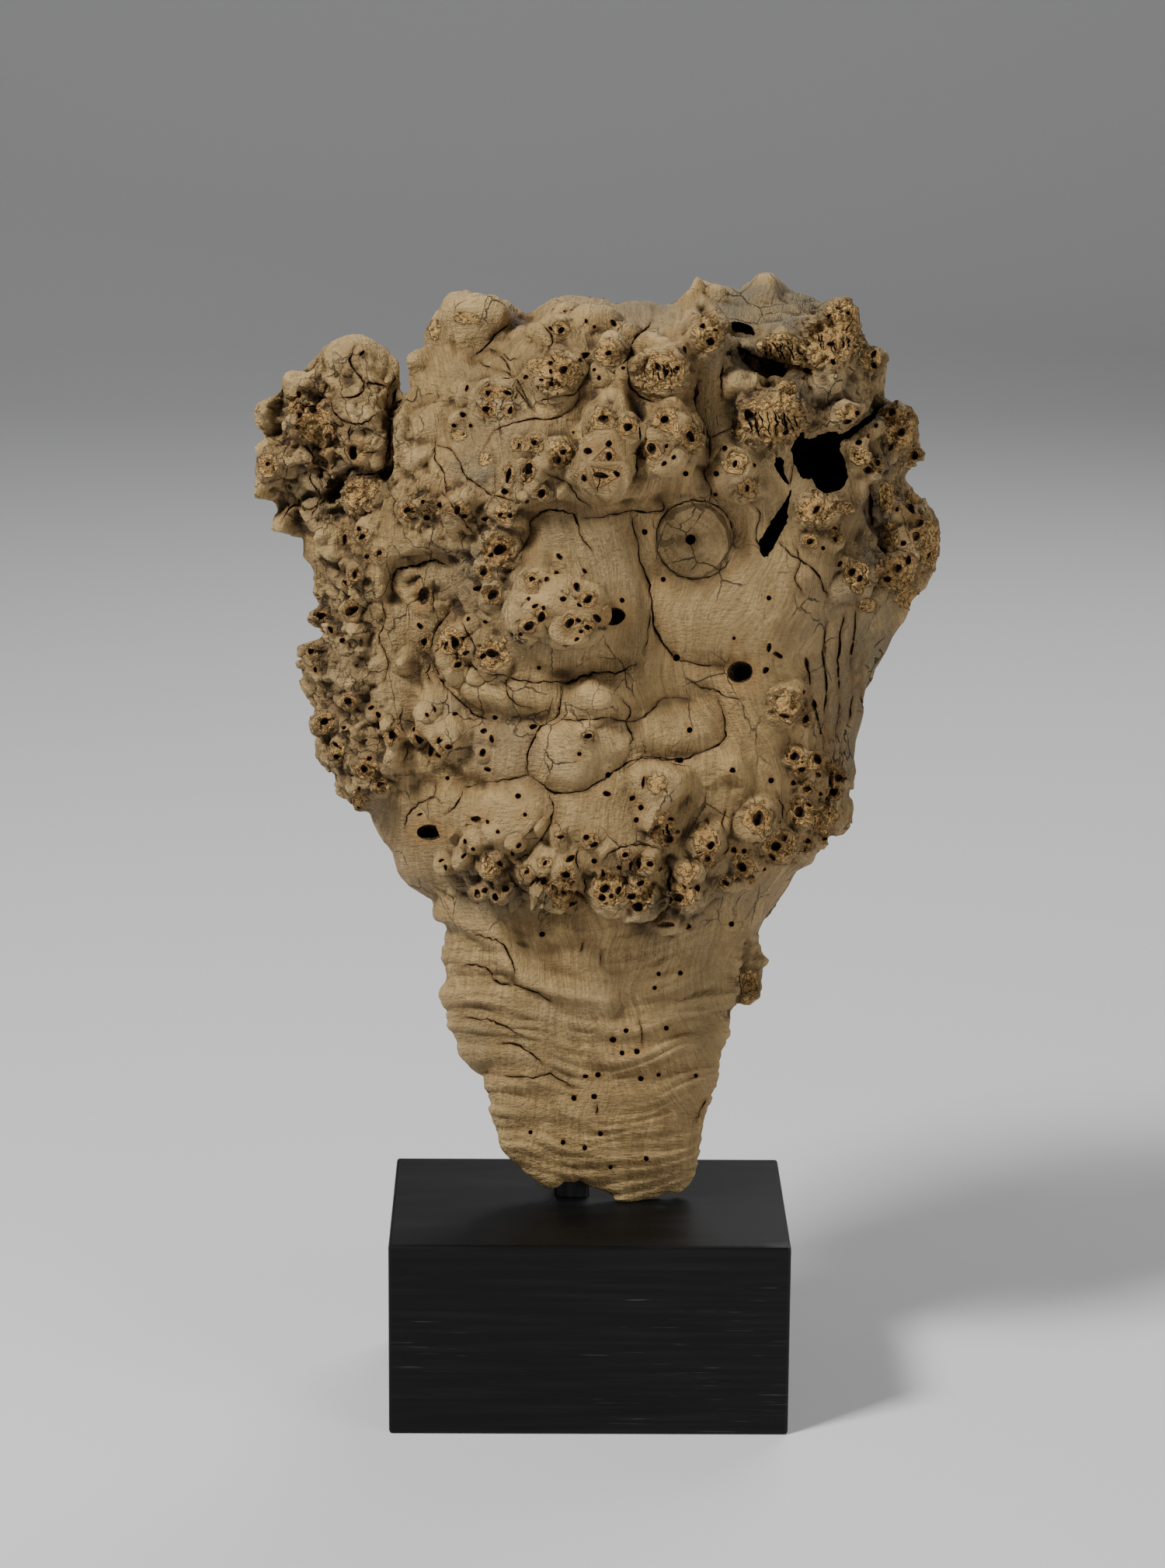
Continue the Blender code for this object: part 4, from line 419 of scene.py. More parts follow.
# Cracks: half width in pixels, depth in mm, then the pixels they run through
cracks = [
    (1.2, 2.0, [(656, 728), (680, 695), (684, 672), (701, 658), (732, 660), (743, 672), (749, 692), (763, 709)]),
    (1.2, 2.0, [(748, 667), (777, 665), (814, 658), (850, 659), (854, 647)]),
    (1.0, 1.6, [(845, 706), (846, 680), (857, 660), (876, 648), (898, 644), (920, 650), (936, 664), (944, 684),
                (945, 704)]),
    (0.9, 1.4, [(941, 716), (930, 733), (912, 743), (892, 746), (872, 741), (855, 727), (847, 712)]),
    (1.3, 2.4, [(812, 664), (818, 689), (825, 723), (836, 754), (839, 782), (844, 813), (858, 835), (873, 848),
                (895, 855), (929, 857)]),
    (0.8, 1.2, [(837, 784), (835, 813), (828, 841)]),
    (1.2, 2.2, [(620, 866), (648, 870), (676, 877), (701, 878), (732, 878), (752, 871), (769, 866), (791, 866),
                (814, 857), (822, 855)]),
    (1.1, 1.8, [(724, 880), (722, 902), (718, 922), (696, 936), (686, 953), (679, 976), (680, 1000)]),
    (0.9, 1.5, [(718, 925), (741, 928), (777, 925), (811, 928), (830, 922), (844, 908), (858, 898), (887, 901)]),
    (1.0, 1.6, [(923, 897), (931, 914), (934, 939), (929, 956), (901, 970), (873, 978), (853, 978), (828, 975),
                (802, 992)]),
    (1.4, 2.4, [(682, 998), (701, 1012), (713, 1021), (741, 1021), (769, 1009), (785, 998), (805, 984), (833, 976),
                (867, 979)]),
    (1.1, 1.8, [(707, 1021), (713, 1040), (707, 1063), (693, 1085), (676, 1102), (662, 1108)]),
    (1.0, 1.8, [(597, 1015), (623, 1008), (656, 1004), (682, 998)]),
    (0.9, 1.5, [(595, 1015), (589, 1035), (572, 1049)]),
    (0.9, 1.5, [(522, 1071), (524, 1051), (539, 1035), (558, 1026), (561, 1007)]),
    (1.2, 2.2, [(582, 786), (562, 811), (555, 836), (562, 864), (573, 884), (593, 904), (613, 921), (629, 926)]),
    (0.8, 1.2, [(556, 850), (550, 866), (554, 880)]),
    (1.0, 1.8, [(609, 1201), (629, 1209), (647, 1215), (662, 1245), (663, 1267), (693, 1279), (711, 1291)]),
    (1.0, 1.8, [(597, 1245), (607, 1242), (629, 1249), (636, 1261), (646, 1267), (661, 1268)]),
    (1.0, 1.8, [(594, 1311), (626, 1313), (644, 1320), (672, 1334)]),
    (0.9, 1.6, [(641, 1343), (669, 1347), (687, 1360), (698, 1370)]),
    (1.0, 1.8, [(627, 1381), (662, 1386), (693, 1387), (709, 1383), (738, 1402)]),
    (0.6, 1.0, [(751, 1212), (748, 1227)]),
    (0.6, 1.0, [(773, 1224), (774, 1245)]),
    (1.1, 2.0, [(841, 395), (838, 416), (820, 433), (810, 454), (808, 478), (817, 505), (848, 519), (893, 512),
                (898, 491), (893, 471), (872, 447)]),
    (1.0, 1.8, [(896, 491), (896, 522), (907, 547), (913, 564), (912, 595)]),
    (1.2, 2.2, [(822, 533), (824, 560), (820, 595), (819, 615)]),
    (0.8, 1.2, [(913, 564), (932, 556), (951, 547)]),
    (0.9, 1.4, [(1034, 485), (1048, 505)]),
    (1.1, 2.0, [(1001, 696), (1020, 715), (1048, 733), (1058, 753), (1065, 767)]),
    (2.6, 3.0, [(1120, 626), (1122, 667), (1130, 695), (1141, 715)]),
    (2.0, 3.0, [(507, 766), (506, 740), (520, 731), (534, 729), (551, 723), (562, 722), (576, 729)]),
    (2.6, 3.5, [(511, 497), (502, 536), (500, 578), (488, 609), (455, 612), (432, 635)]),
    (1.6, 2.4, [(1037, 848), (1041, 866), (1047, 906), (1056, 931), (1059, 955)]),
    (0.9, 1.5, [(628, 449), (646, 455), (655, 463), (668, 461)]),
    (0.9, 1.5, [(617, 464), (629, 473), (655, 481), (666, 490), (680, 520)]),
    (1.0, 1.8, [(1022, 596), (1016, 627)]),
    (1.6, 2.4, [(676, 405), (643, 427), (623, 447), (612, 458)]),
    (0.7, 1.2, [(822, 1310), (826, 1328), (828, 1347)]),
    (0.9, 1.5, [(768, 1421), (769, 1436)]),
    (1.2, 1.5, [(909, 1415), (902, 1430), (895, 1444)]),
    (3.4, 3.4, [(864, 1118), (860, 1138), (864, 1158), (856, 1170)]),
    (1.5, 2.0, [(905, 398), (925, 420), (945, 428)]),
    (1.6, 2.4, [(458, 444), (451, 465), (469, 492), (460, 510), (424, 513), (408, 511)]),
    (1.3, 2.2, [(469, 492), (484, 494), (501, 497), (510, 483)]),
    (1.5, 2.4, [(492, 510), (506, 533), (501, 560), (501, 588), (492, 615)]),
    (1.3, 2.2, [(374, 530), (383, 519), (401, 524), (415, 510), (420, 492)]),
    (1.3, 2.2, [(360, 674), (378, 651), (401, 656), (428, 638)]),
    (1.2, 2.0, [(424, 513), (432, 534), (452, 546), (470, 544), (486, 532)]),
    (1.1, 2.0, [(452, 546), (450, 566), (470, 582), (490, 580)]),
    (1.2, 2.0, [(372, 566), (392, 574), (404, 590), (400, 616), (412, 640), (400, 668)]),
    (0.9, 1.5, [(622, 580), (636, 556), (660, 545), (690, 540), (722, 536), (742, 520), (746, 498)]),
    (0.9, 1.5, [(690, 520), (712, 512), (738, 508), (752, 492)]),
    (0.8, 1.3, [(700, 608), (730, 622), (744, 640), (760, 652)]),
    (0.8, 1.3, [(605, 770), (592, 786), (600, 812), (612, 836), (606, 858)]),
    (0.8, 1.3, [(655, 870), (652, 888), (664, 906), (690, 914)]),
    (0.8, 1.3, [(852, 1095), (836, 1090), (812, 1088), (788, 1096), (776, 1108)]),
    (1.0, 1.5, [(745, 1090), (742, 1112), (752, 1130), (754, 1152)]),
    (0.9, 1.5, [(655, 1120), (662, 1136), (678, 1150), (690, 1160)]),
    (0.8, 1.3, [(935, 1040), (930, 1062), (938, 1084), (932, 1104)]),
    (0.8, 1.3, [(1000, 1020), (1008, 1042), (1004, 1064)]),
    (0.8, 1.3, [(575, 640), (572, 612), (560, 590), (562, 565)]),
    (0.7, 1.2, [(520, 905), (516, 930), (526, 958), (520, 985)]),
    (0.8, 1.3, [(490, 770), (496, 796), (488, 822), (500, 850), (494, 880)]),
    (1.0, 1.6, [(633, 451), (650, 464), (657, 481), (672, 509), (689, 531)]),
    (1.0, 1.6, [(939, 442), (931, 470), (928, 492), (930, 514)]),
    (1.0, 1.6, [(556, 572), (583, 581), (598, 612), (616, 624), (633, 637), (667, 648)]),
    (0.9, 1.5, [(567, 631), (578, 644), (589, 659), (600, 676), (611, 687)]),
    (0.9, 1.5, [(914, 595), (908, 612), (916, 634), (912, 652)]),
    (1.0, 1.6, [(700, 420), (712, 436), (706, 452), (716, 470)]),
    (0.9, 1.5, [(760, 600), (772, 618), (768, 636), (780, 650)]),
    (0.9, 1.5, [(960, 640), (978, 662), (972, 690), (984, 712)]),
    (1.0, 1.6, [(880, 870), (900, 884), (918, 888), (934, 896), (958, 900)]),
    (0.9, 1.5, [(800, 900), (812, 914), (806, 930), (814, 948), (810, 964)]),
    (0.9, 1.5, [(1022, 700), (1030, 724), (1024, 744), (1034, 766)]),
    (2.2, 2.6, [(1088, 790), (1080, 830), (1078, 870), (1082, 912), (1076, 955)]),
    (1.8, 2.4, [(1104, 770), (1100, 812), (1096, 850), (1098, 892), (1092, 930)]),
    (1.6, 2.2, [(1064, 800), (1060, 840), (1064, 884), (1062, 925), (1068, 968)]),
    (1.4, 2.0, [(1072, 975), (1068, 1000), (1074, 1024)]),
    (1.4, 2.0, [(1110, 845), (1108, 880), (1112, 915)]),
]

# Broad swellings that carry several knots: across, down, half width, half height, height in mm
lobes = [
    (784, 580, 42, 62, 3.0), (862, 568, 42, 52, 3.0), (853, 478, 46, 44, 1.5), (786, 474, 24, 46, 2.5),
    (945, 612, 36, 40, 2.0), (712, 480, 44, 28, 1.5), (745, 414, 56, 28, 1.5), (636, 516, 46, 38, 2.0),
    (700, 578, 48, 26, 1.2), (670, 615, 40, 30, 1.2), (847, 1011, 50, 32, 1.5), (700, 1125, 42, 34, 1.2),
    (975, 1060, 40, 40, 1.5), (725, 780, 62, 50, 1.5), (584, 838, 30, 36, 1.2), (545, 790, 26, 54, 1.2),
    (715, 790, 86, 62, 2.6), (635, 880, 76, 34, 1.8),
    (735, 965, 44, 40, 1.6), (640, 1055, 58, 40, 1.6), (765, 898, 34, 22, 1.2), (560, 925, 30, 36, 1.2),
]

# Where the surface is knobbly all over: across, down, half width, half height, strength
knobblyAreas = [
    (430, 570, 105, 130, 1.0), (440, 870, 70, 190, 0.85), (1060, 470, 120, 110, 0.6), (1165, 660, 56, 130, 0.8),
    (690, 470, 130, 95, 0.25), (590, 650, 110, 60, 0.6), (590, 740, 90, 70, 0.5), (650, 1140, 100, 34, 0.5),
    (860, 1165, 90, 30, 0.45), (560, 960, 60, 60, 0.4), (500, 950, 60, 90, 0.5), (1060, 1020, 50, 80, 0.3),
]

# Where it is weathered grey, and where it is rubbed pale: across, down, half width, half height, strength
greyAreas = [
    (990, 395, 84, 34, 1.0), (830, 400, 45, 26, 0.6), (950, 455, 50, 30, 0.6), (1130, 920, 70, 150, 0.8),
    (1085, 820, 60, 110, 0.35), (1128, 690, 24, 80, 0.7), (600, 740, 60, 40, 0.35), (575, 908, 34, 12, 0.5),
    (650, 960, 50, 50, 0.4), (860, 1180, 60, 26, 0.4), (950, 1150, 60, 40, 0.3), (410, 620, 60, 50, 0.3),
    (1060, 500, 50, 30, 0.5), (606, 606, 30, 22, 0.7), (640, 1160, 70, 26, 0.4), (1135, 600, 14, 20, 0.6),
]
paleAreas = [
    (605, 405, 60, 40, 0.9), (560, 460, 30, 60, 0.5), (750, 960, 80, 80, 0.8), (850, 960, 90, 60, 0.6),
    (720, 1060, 60, 50, 0.6), (540, 560, 45, 60, 0.5), (790, 700, 60, 60, 0.5), (1000, 800, 60, 90, 0.5),
    (760, 1250, 180, 60, 0.15), (640, 1230, 70, 80, 0.3), (740, 640, 60, 24, 0.4), (455, 470, 46, 30, 0.5),
    (930, 790, 70, 60, 0.35), (650, 1050, 60, 50, 0.4), (730, 850, 80, 30, 0.3), (892, 697, 62, 58, 0.55),
]

driftwood = {
    # the mesh
    "gridStep": 6.0,              # pixels between the points of the first sheets
    "voxel": 0.68 * mm,
    "triangles": 156000,          # before the cuts
    "mostTriangles": 190000,      # after them
    "chipPoints": 200,            # a loose bit with fewer points is taken away
    "sharpAngle": 62,             # degrees
    "seed": 41,
    # the shell
    "halfRim": 1.2,               # mm from the middle of the rim to the front, and to the back
    "frontRound": 34.0,           # pixels over which the front and the back roll to the rim
    "backRound": 60.0,
    "leastWall": 3.2,             # mm
    "neckTop": (1178, 1215),      # pixels down between which the ripples of the neck begin
    "disc": (892, 697, 47),       # a round end with rings: across, down, radius in pixels
    # buds, seams and folds
    "budScale": 1.35,             # times the heights in the list
    "budReach": 1.85,             # a bud's foot, in its own radii
    "seamHalfWidth": 11.0,        # pixels
    "seamDepth": 2.2,             # mm
    "foldHalfWidth": 12.0,        # pixels
    "foldScale": 1.35,            # times the heights in the list
    "lobeScale": 1.3,             # times the heights in the list
    # finer relief
    "rippleSpacing": 15.0,        # pixels between the waves across the neck
    "rippleHeight": 0.42,         # mm
    "fibreSpacing": 2.3 * mm,
    "fibreHeight": 0.05,          # mm
    "swellSpacing": 17 * mm,      # low waves over all of the front
    "swellHeight": 0.22,          # mm
    "lumpSpacing": 8.5 * mm,      # large and small flakes of the knobbly areas
    "flakeSpacing": 3.6 * mm,
    "lumpHeight": 0.72,           # mm
    "stripeSpacing": 8.5,         # pixels between the ridges of the right-hand edge
    "stripeHeight": 0.8,          # mm
    "collarHeight": 0.7,          # mm, for a knot of the usual size
    "endDepth": 0.7,              # mm, in the same way
    "usualKnot": 16,              # its half width in pixels
    # the back
    "furrowHeight": 0.6,          # mm
    "waveHeight": 0.45,           # mm
    "backIn": 0.7,                # mm that it lies in under the plain sheet
    # what is cut out
    "boringDepth": 10 * mm,       # the large oval borings
    "beetleDepth": 4.5 * mm,
    "crackJitter": 1.5,           # pixels
    "crackJump": 3.5 * mm,        # a split ends where the surface jumps by this much
    "crackScale": 0.95,           # times the half widths in the list
    "crackLift": 0.8 * mm,        # how far its cutter stands out of the wood
    "pocketJitter": 1.3,          # pixels
    # what the material reads, among it the hollows and rises that it paints as shade and light
    "evenEdge": 1.0 * mm,         # the length of edge at which a hollow counts in full
    "mostEvened": 2.2,
    "hollowUnit": 0.14 * mm,
    "valleyUnit": 0.5 * mm,
    "noRing": 3.0,                # the reading that is far from every knot
}
luck = random.Random(driftwood["seed"])


def smoothStep(low, high, value):
    share = np.clip((value - low) / (high - low), 0, 1)
    return share * share * (3 - 2 * share)


def waves(points, length, seed, count=14):   # even, seeded noise with bumps about one length apart
    draw = np.random.default_rng(seed)
    ways = draw.normal(size=(count, 3))
    ways *= 2 * math.pi / (length * np.linalg.norm(ways, axis=1))[:, None] * draw.uniform(0.6, 1.4, count)[:, None]
    starts = draw.uniform(0, 2 * math.pi, count)
    total = np.zeros(len(points))
    for way, start in zip(ways, starts):
        total += np.sin(points @ way + start)
    return total / math.sqrt(count / 2)


def thinPlate(rows):              # the smooth surface through rows of (across, down, height)
    rows = np.array(rows, float)
    knots, heights = rows[:, :2] / 100.0, rows[:, 2]

    def basis(points):
        squared = ((points[:, None, :] - knots[None]) ** 2).sum(-1)
        return squared * np.log(squared + 1e-9)

    count = len(knots)
    flat = np.hstack([np.ones((count, 1)), knots])
    system = np.zeros((count + 3, count + 3))
    system[:count, :count] = basis(knots) + 0.02 * np.eye(count)
    system[:count, count:] = flat
    system[count:, :count] = flat.T
    weights = np.linalg.solve(system, np.append(heights, np.zeros(3)))

    def surface(across, down):
        points = np.stack([across, down], -1) / 100.0
        return basis(points) @ weights[:count] + np.hstack([np.ones((len(points), 1)), points]) @ weights[count:]

    return surface


def insideOutline(across, down):
    corners = np.array(outline, float)[:, :2]
    found = np.zeros(len(across), bool)
    for (ax, ay), (bx, by) in zip(corners, np.roll(corners, -1, 0)):
        if ay != by:
            found ^= ((ay > down) != (by > down)) & (across < (bx - ax) * (down - ay) / (by - ay) + ax)
    return found


def nearestOnPath(path, across, down, closed):   # distance, nearest point, and how far along as a point number
    path = np.array(path, float)[:, :2]
    ends = np.roll(path, -1, 0) if closed else path[1:]
    starts = path if closed else path[:-1]
    points = np.stack([across, down], -1)
    best = np.full(len(points), 1e9)
    near = np.zeros_like(points)
    along = np.zeros(len(points))
    for number, (start, end) in enumerate(zip(starts, ends)):
        step = end - start
        share = np.clip(((points - start) @ step) / max(step @ step, 1e-9), 0, 1)
        foot = start + share[:, None] * step
        distance = np.hypot(*(points - foot).T)
        closer = distance < best
        best[closer] = distance[closer]
        near[closer] = foot[closer]
        along[closer] = number + share[closer]
    return best, near, along


def distanceTo(path, across, down, reach):       # pixels to a path, worked out only near it
    path = np.asarray(path, float)
    found = np.full(len(across), 1e6)
    low, high = path.min(0) - reach, path.max(0) + reach
    near = np.flatnonzero((across > low[0]) & (across < high[0]) & (down > low[1]) & (down < high[1]))
    if len(near):
        found[near] = nearestOnPath(path, across[near], down[near], False)[0]
    return found


def curved(pixels):               # a smooth path through those pixels, four steps from each to the next
    path = np.array(pixels, float)
    path = np.vstack([2 * path[0] - path[1], path, 2 * path[-1] - path[-2]])
    steps = np.arange(4)[:, None] / 4
    made = []
    for before, start, end, after in zip(path, path[1:], path[2:], path[3:]):
        leave, arrive = (end - before) / 2, (after - start) / 2
        made.append(start + steps * (leave + steps * (3 * (end - start) - 2 * leave - arrive
                                                      + steps * (2 * (start - end) + leave + arrive))))
    return np.vstack([*made, path[-2:-1]])


def applied(obj, name):           # a new mesh with the object's modifiers applied
    graph = bpy.context.evaluated_depsgraph_get()
    graph.update()
    mesh = bpy.data.meshes.new_from_object(obj.evaluated_get(graph), depsgraph=graph)
    mesh.name = name
    return mesh


def shellPoints(across, down, isFront):
    rimHeights = np.array([row[2] for row in outline] + [outline[0][2]], float)
    distance, _, along = nearestOnPath(outline, across, down, True)
    rim = np.interp(along, np.arange(len(rimHeights)), rimHeights)

    def rolled(reach):
        share = np.clip(distance / reach, 0, 1)
        return np.sqrt(np.maximum(1 - (1 - share) ** 2, 0))

    front = thinPlate(frontRelief)(across, down)
    front = rim + driftwood["halfRim"] + (np.maximum(front, rim + 1) - rim) * rolled(driftwood["frontRound"])
    if isFront:
        return place(across, down, front)
    back = thinPlate(backRelief)(across, down)
    back = rim - driftwood["halfRim"] + (back - rim) * rolled(driftwood["backRound"])
    return place(across, down, np.minimum(back, front - driftwood["leastWall"]))


def plainShell():                 # front and back sheets joined round the rim, then meshed evenly
    step = driftwood["gridStep"]
    edge = np.array(outline, float)[:, :2]
    low, high = edge.min(0) - step, edge.max(0) + step
    counts = np.ceil((high - low) / step).astype(int)
    sheet = bmesh.new()
    bmesh.ops.create_grid(sheet, x_segments=int(counts[0]), y_segments=int(counts[1]), size=0.5)
    bmesh.ops.scale(sheet, vec=(*(counts * step), 1), verts=sheet.verts)
    bmesh.ops.translate(sheet, vec=(*(low + counts * step / 2), 0), verts=sheet.verts)
    middles = np.array([face.calc_center_median() for face in sheet.faces])
    kept = insideOutline(middles[:, 0], middles[:, 1])
    bmesh.ops.delete(sheet, geom=[f for f, keep in zip(sheet.faces, kept) if not keep], context="FACES")
    rim = [v for v in sheet.verts if v.is_boundary]
    points = np.array([v.co for v in rim])
    near = nearestOnPath(outline, points[:, 0], points[:, 1], True)[1]
    for vertex, foot in zip(rim, near):
        vertex.co.xy = foot
    firstVerts = list(sheet.verts)
    grown = bmesh.ops.extrude_face_region(sheet, geom=list(sheet.faces))["geom"]
    newVerts = [v for v in grown if isinstance(v, bmesh.types.BMVert)]
    for verts, isFront in ((firstVerts, False), (newVerts, True)):
        flat = np.array([v.co for v in verts])
        for vertex, point in zip(verts, shellPoints(flat[:, 0], flat[:, 1], isFront)):
            vertex.co = point
    bmesh.ops.recalc_face_normals(sheet, faces=sheet.faces)
    mesh = bpy.data.meshes.new("shellSheets")
    sheet.to_mesh(mesh)
    sheet.free()
    obj = linkNew("shellSheets", mesh)
    even = obj.modifiers.new("even", "REMESH")
    even.mode = "VOXEL"
    even.voxel_size = driftwood["voxel"]
    soft = obj.modifiers.new("soft", "SMOOTH")
    soft.factor = 0.5
    soft.iterations = 5
    made = applied(obj, "driftwoodBurl")
    bpy.data.objects.remove(obj)
    return made


def gathered(items, name, width=1, kind=float):   # one value, or one row of values, from each item
    values = np.empty(len(items) * width, kind)
    items.foreach_get(name, values)
    return values.reshape(-1, width) if width > 1 else values


class Carving:                    # the shell's points, moved in and out along its surface
    def __init__(self, mesh):
        self.mesh = mesh
        self.points = gathered(mesh.vertices, "co", 3)
        self.read()

    def read(self):
        self.mesh.vertices.foreach_set("co", self.points.ravel())
        self.mesh.update()
        self.normals = gathered(self.mesh.vertices, "normal", 3)
        self.across, self.down = pixelsOf(self.points)
        self.facing = -(self.normals @ viewAhead)
        self.seen = smoothStep(0.0, 0.25, self.facing)
        corners = gathered(self.mesh.loops, "vertex_index", 1, np.int32)
        faces = corners.reshape(len(self.mesh.polygons), 4)   # a voxel mesh has only four-sided faces
        self.tree = BVHTree.FromPolygons(self.points.tolist(), faces.tolist())

    def hit(self, across, down):
        ray = Vector(sightLines(across, down)).normalized()
        point, normal, _, reach = self.tree.ray_cast(photo["eye"], ray)
        return point, normal, reach

    def bud(self, across, down, radiusPixels, heightMm, pitMm):
        radius = radiusPixels * photo["pixel"]
        point, normal, _ = self.hit(across, down)
        if point is None:
            return
        offset = self.points - np.array(point)
        near = np.flatnonzero((np.abs(offset) < 2.1 * radius).all(1))
        offset = offset[near]
        axis = self.normals[near].mean(0) + 0.6 * np.array(normal) - 0.4 * viewAhead
        axis /= np.linalg.norm(axis)
        out = offset @ axis
        sideways = np.linalg.norm(offset - out[:, None] * axis, axis=1)
        same = (self.normals[near] @ axis > -0.3) & (np.abs(out) < 1.5 * radius + 6 * mm)
        near, sideways = near[same], sideways[same]
        sideways = sideways * (1 + 0.22 * waves(self.points[near], 1.6 * radius + 4 * mm, 17))
        fall = 1 - smoothStep(0.2 * radius, driftwood["budReach"] * radius, sideways)
        swell = driftwood["budScale"] * heightMm * mm * fall ** 1.4
        pit = 0.45 * pitMm * mm * np.exp(-((sideways / (0.42 * radius)) ** 2))
        foot = 0.09 * heightMm * mm * np.exp(-((sideways / radius - 1.45) / 0.2) ** 2)
        self.points[near] += (swell - pit - foot)[:, None] * axis

    def stroke(self, halfWidth, heightMm, pixels):   # a ridge along pixels, or a cleft where the height is negative
        distance = distanceTo(curved(pixels), self.across, self.down, 2.2 * halfWidth)
        share = np.clip(distance / (2 * halfWidth), 0, 1)
        self.points += (heightMm * mm * (1 - share**2) ** 2 * self.seen)[:, None] * self.normals

    def raiseBy(self, heights):
        self.points += (heights * mm)[:, None] * self.normals


def cells(points, size, seed):    # nearest and second distance to scattered seeds, and a number of the nearest one
    spot = points / size
    base = np.floor(spot).astype(np.int64)
    best, second, worth = np.full(len(points), 9.0), np.full(len(points), 9.0), np.zeros(len(points))
    for step in np.ndindex(3, 3, 3):
        cell = base + np.array(step) - 1
        key = ((cell * (7385, 19349, 8349)).sum(1) + seed * 917) % 100003
        draws = [np.modf(np.abs(np.sin(key * rate) * 43758.5))[0] for rate in (0.7, 1.3, 2.1)]
        distance = np.linalg.norm(spot - cell - np.stack(draws, -1), axis=1)
        closer = distance < best
        second = np.where(closer, best, np.minimum(second, distance))
        worth = np.where(closer, draws[0], worth)
        best = np.where(closer, distance, best)
    return best, second, worth


def areaShare(areas, across, down):   # how far a point lies in any of the soft-edged ovals, times their strength
    total = np.zeros(len(across))
    for x, y, halfWidth, halfHeight, strength in areas:
        distance = np.hypot((across - x) / halfWidth, (down - y) / halfHeight)
        total = np.maximum(total, strength * (1 - smoothStep(0.6, 1.25, distance)))
    return total


def halfSizes(row):               # half width and half height, also of a row that gives one radius
    return row[2], row[3] if len(row) > 3 else row[2]


def ovalDistance(row, across, down):  # nearby points, and their distance in radii of the oval
    x, y = row[:2]
    halfWidth, halfHeight = halfSizes(row)
    near = np.flatnonzero((np.abs(across - x) < 2.6 * halfWidth) & (np.abs(down - y) < 2.6 * halfHeight))
    return near, np.hypot((across[near] - x) / halfWidth, (down[near] - y) / halfHeight)


def grainField(across, down):     # across and along the fibre, in pixels: it flows round every knot
    middle = place(across, down, np.zeros(len(across)))
    over = across + 16 * waves(middle, 70 * mm, 35) + 3 * waves(middle, 22 * mm, 36)
    along = down.copy()
    for pixels in seams:
        distance = distanceTo(curved(pixels), across, down, 70)
        over += 5 * np.exp(-((distance / 26) ** 2))
    x, y, radius = driftwood["disc"]
    distance = np.hypot(across - x, down - y)
    over = np.where(distance < radius, distance, over)
    along = np.where(distance < radius, radius * np.arctan2(down - y, across - x), along)
    for x, y, halfWidth, halfHeight in knotEnds:
        radius = 1.15 * max(halfWidth, halfHeight)
        dx, dy = across - x, down - y
        near = np.flatnonzero((np.abs(dx) < 4 * radius) & (np.abs(dy) < 4 * radius))
        dx, dy = dx[near], dy[near]
        squared = dx**2 + dy**2
        fade = np.clip(1 - squared / (16 * radius**2), 0, 1)
        pull = fade * radius**2 / np.maximum(squared, radius**2)
        over[near] -= dx * pull
        along[near] += dy * pull * 0.8
    return over, along


def unevenEdge(distance, points):  # a knot's edge wanders in and out
    return distance + 0.13 * waves(points, 5 * mm, 14) + 0.06 * waves(points, 2.5 * mm, 22)


def sideStripes(across, down):    # pixels in from the weathered right edge, and how far the place belongs to it
    edgeDown = [760, 836, 897, 977, 1060, 1120]
    edgeAcross = [1180, 1141, 1111, 1099, 1096, 1046]
    inwards = np.interp(down, edgeDown, edgeAcross) - across
    belongs = smoothStep(770, 830, down) * (1 - smoothStep(1030, 1090, down)) * (1 - smoothStep(35, 62, inwards))
    return inwards, belongs


def neckWave(across, down, points):   # height of the waves across the neck, from -1 to 1
    dip = 26 * np.exp(-((across - 768) / 80) ** 2) - 12 * np.clip((across - 840) / 100, 0, 1)
    wander = waves(points * (1, 1, 1.6), 34 * mm, 5)
    turn = 2 * math.pi * (down - dip) / driftwood["rippleSpacing"] + 1.5 * wander
    return np.sin(turn) + 0.35 * np.sin(2 * turn + 0.9)


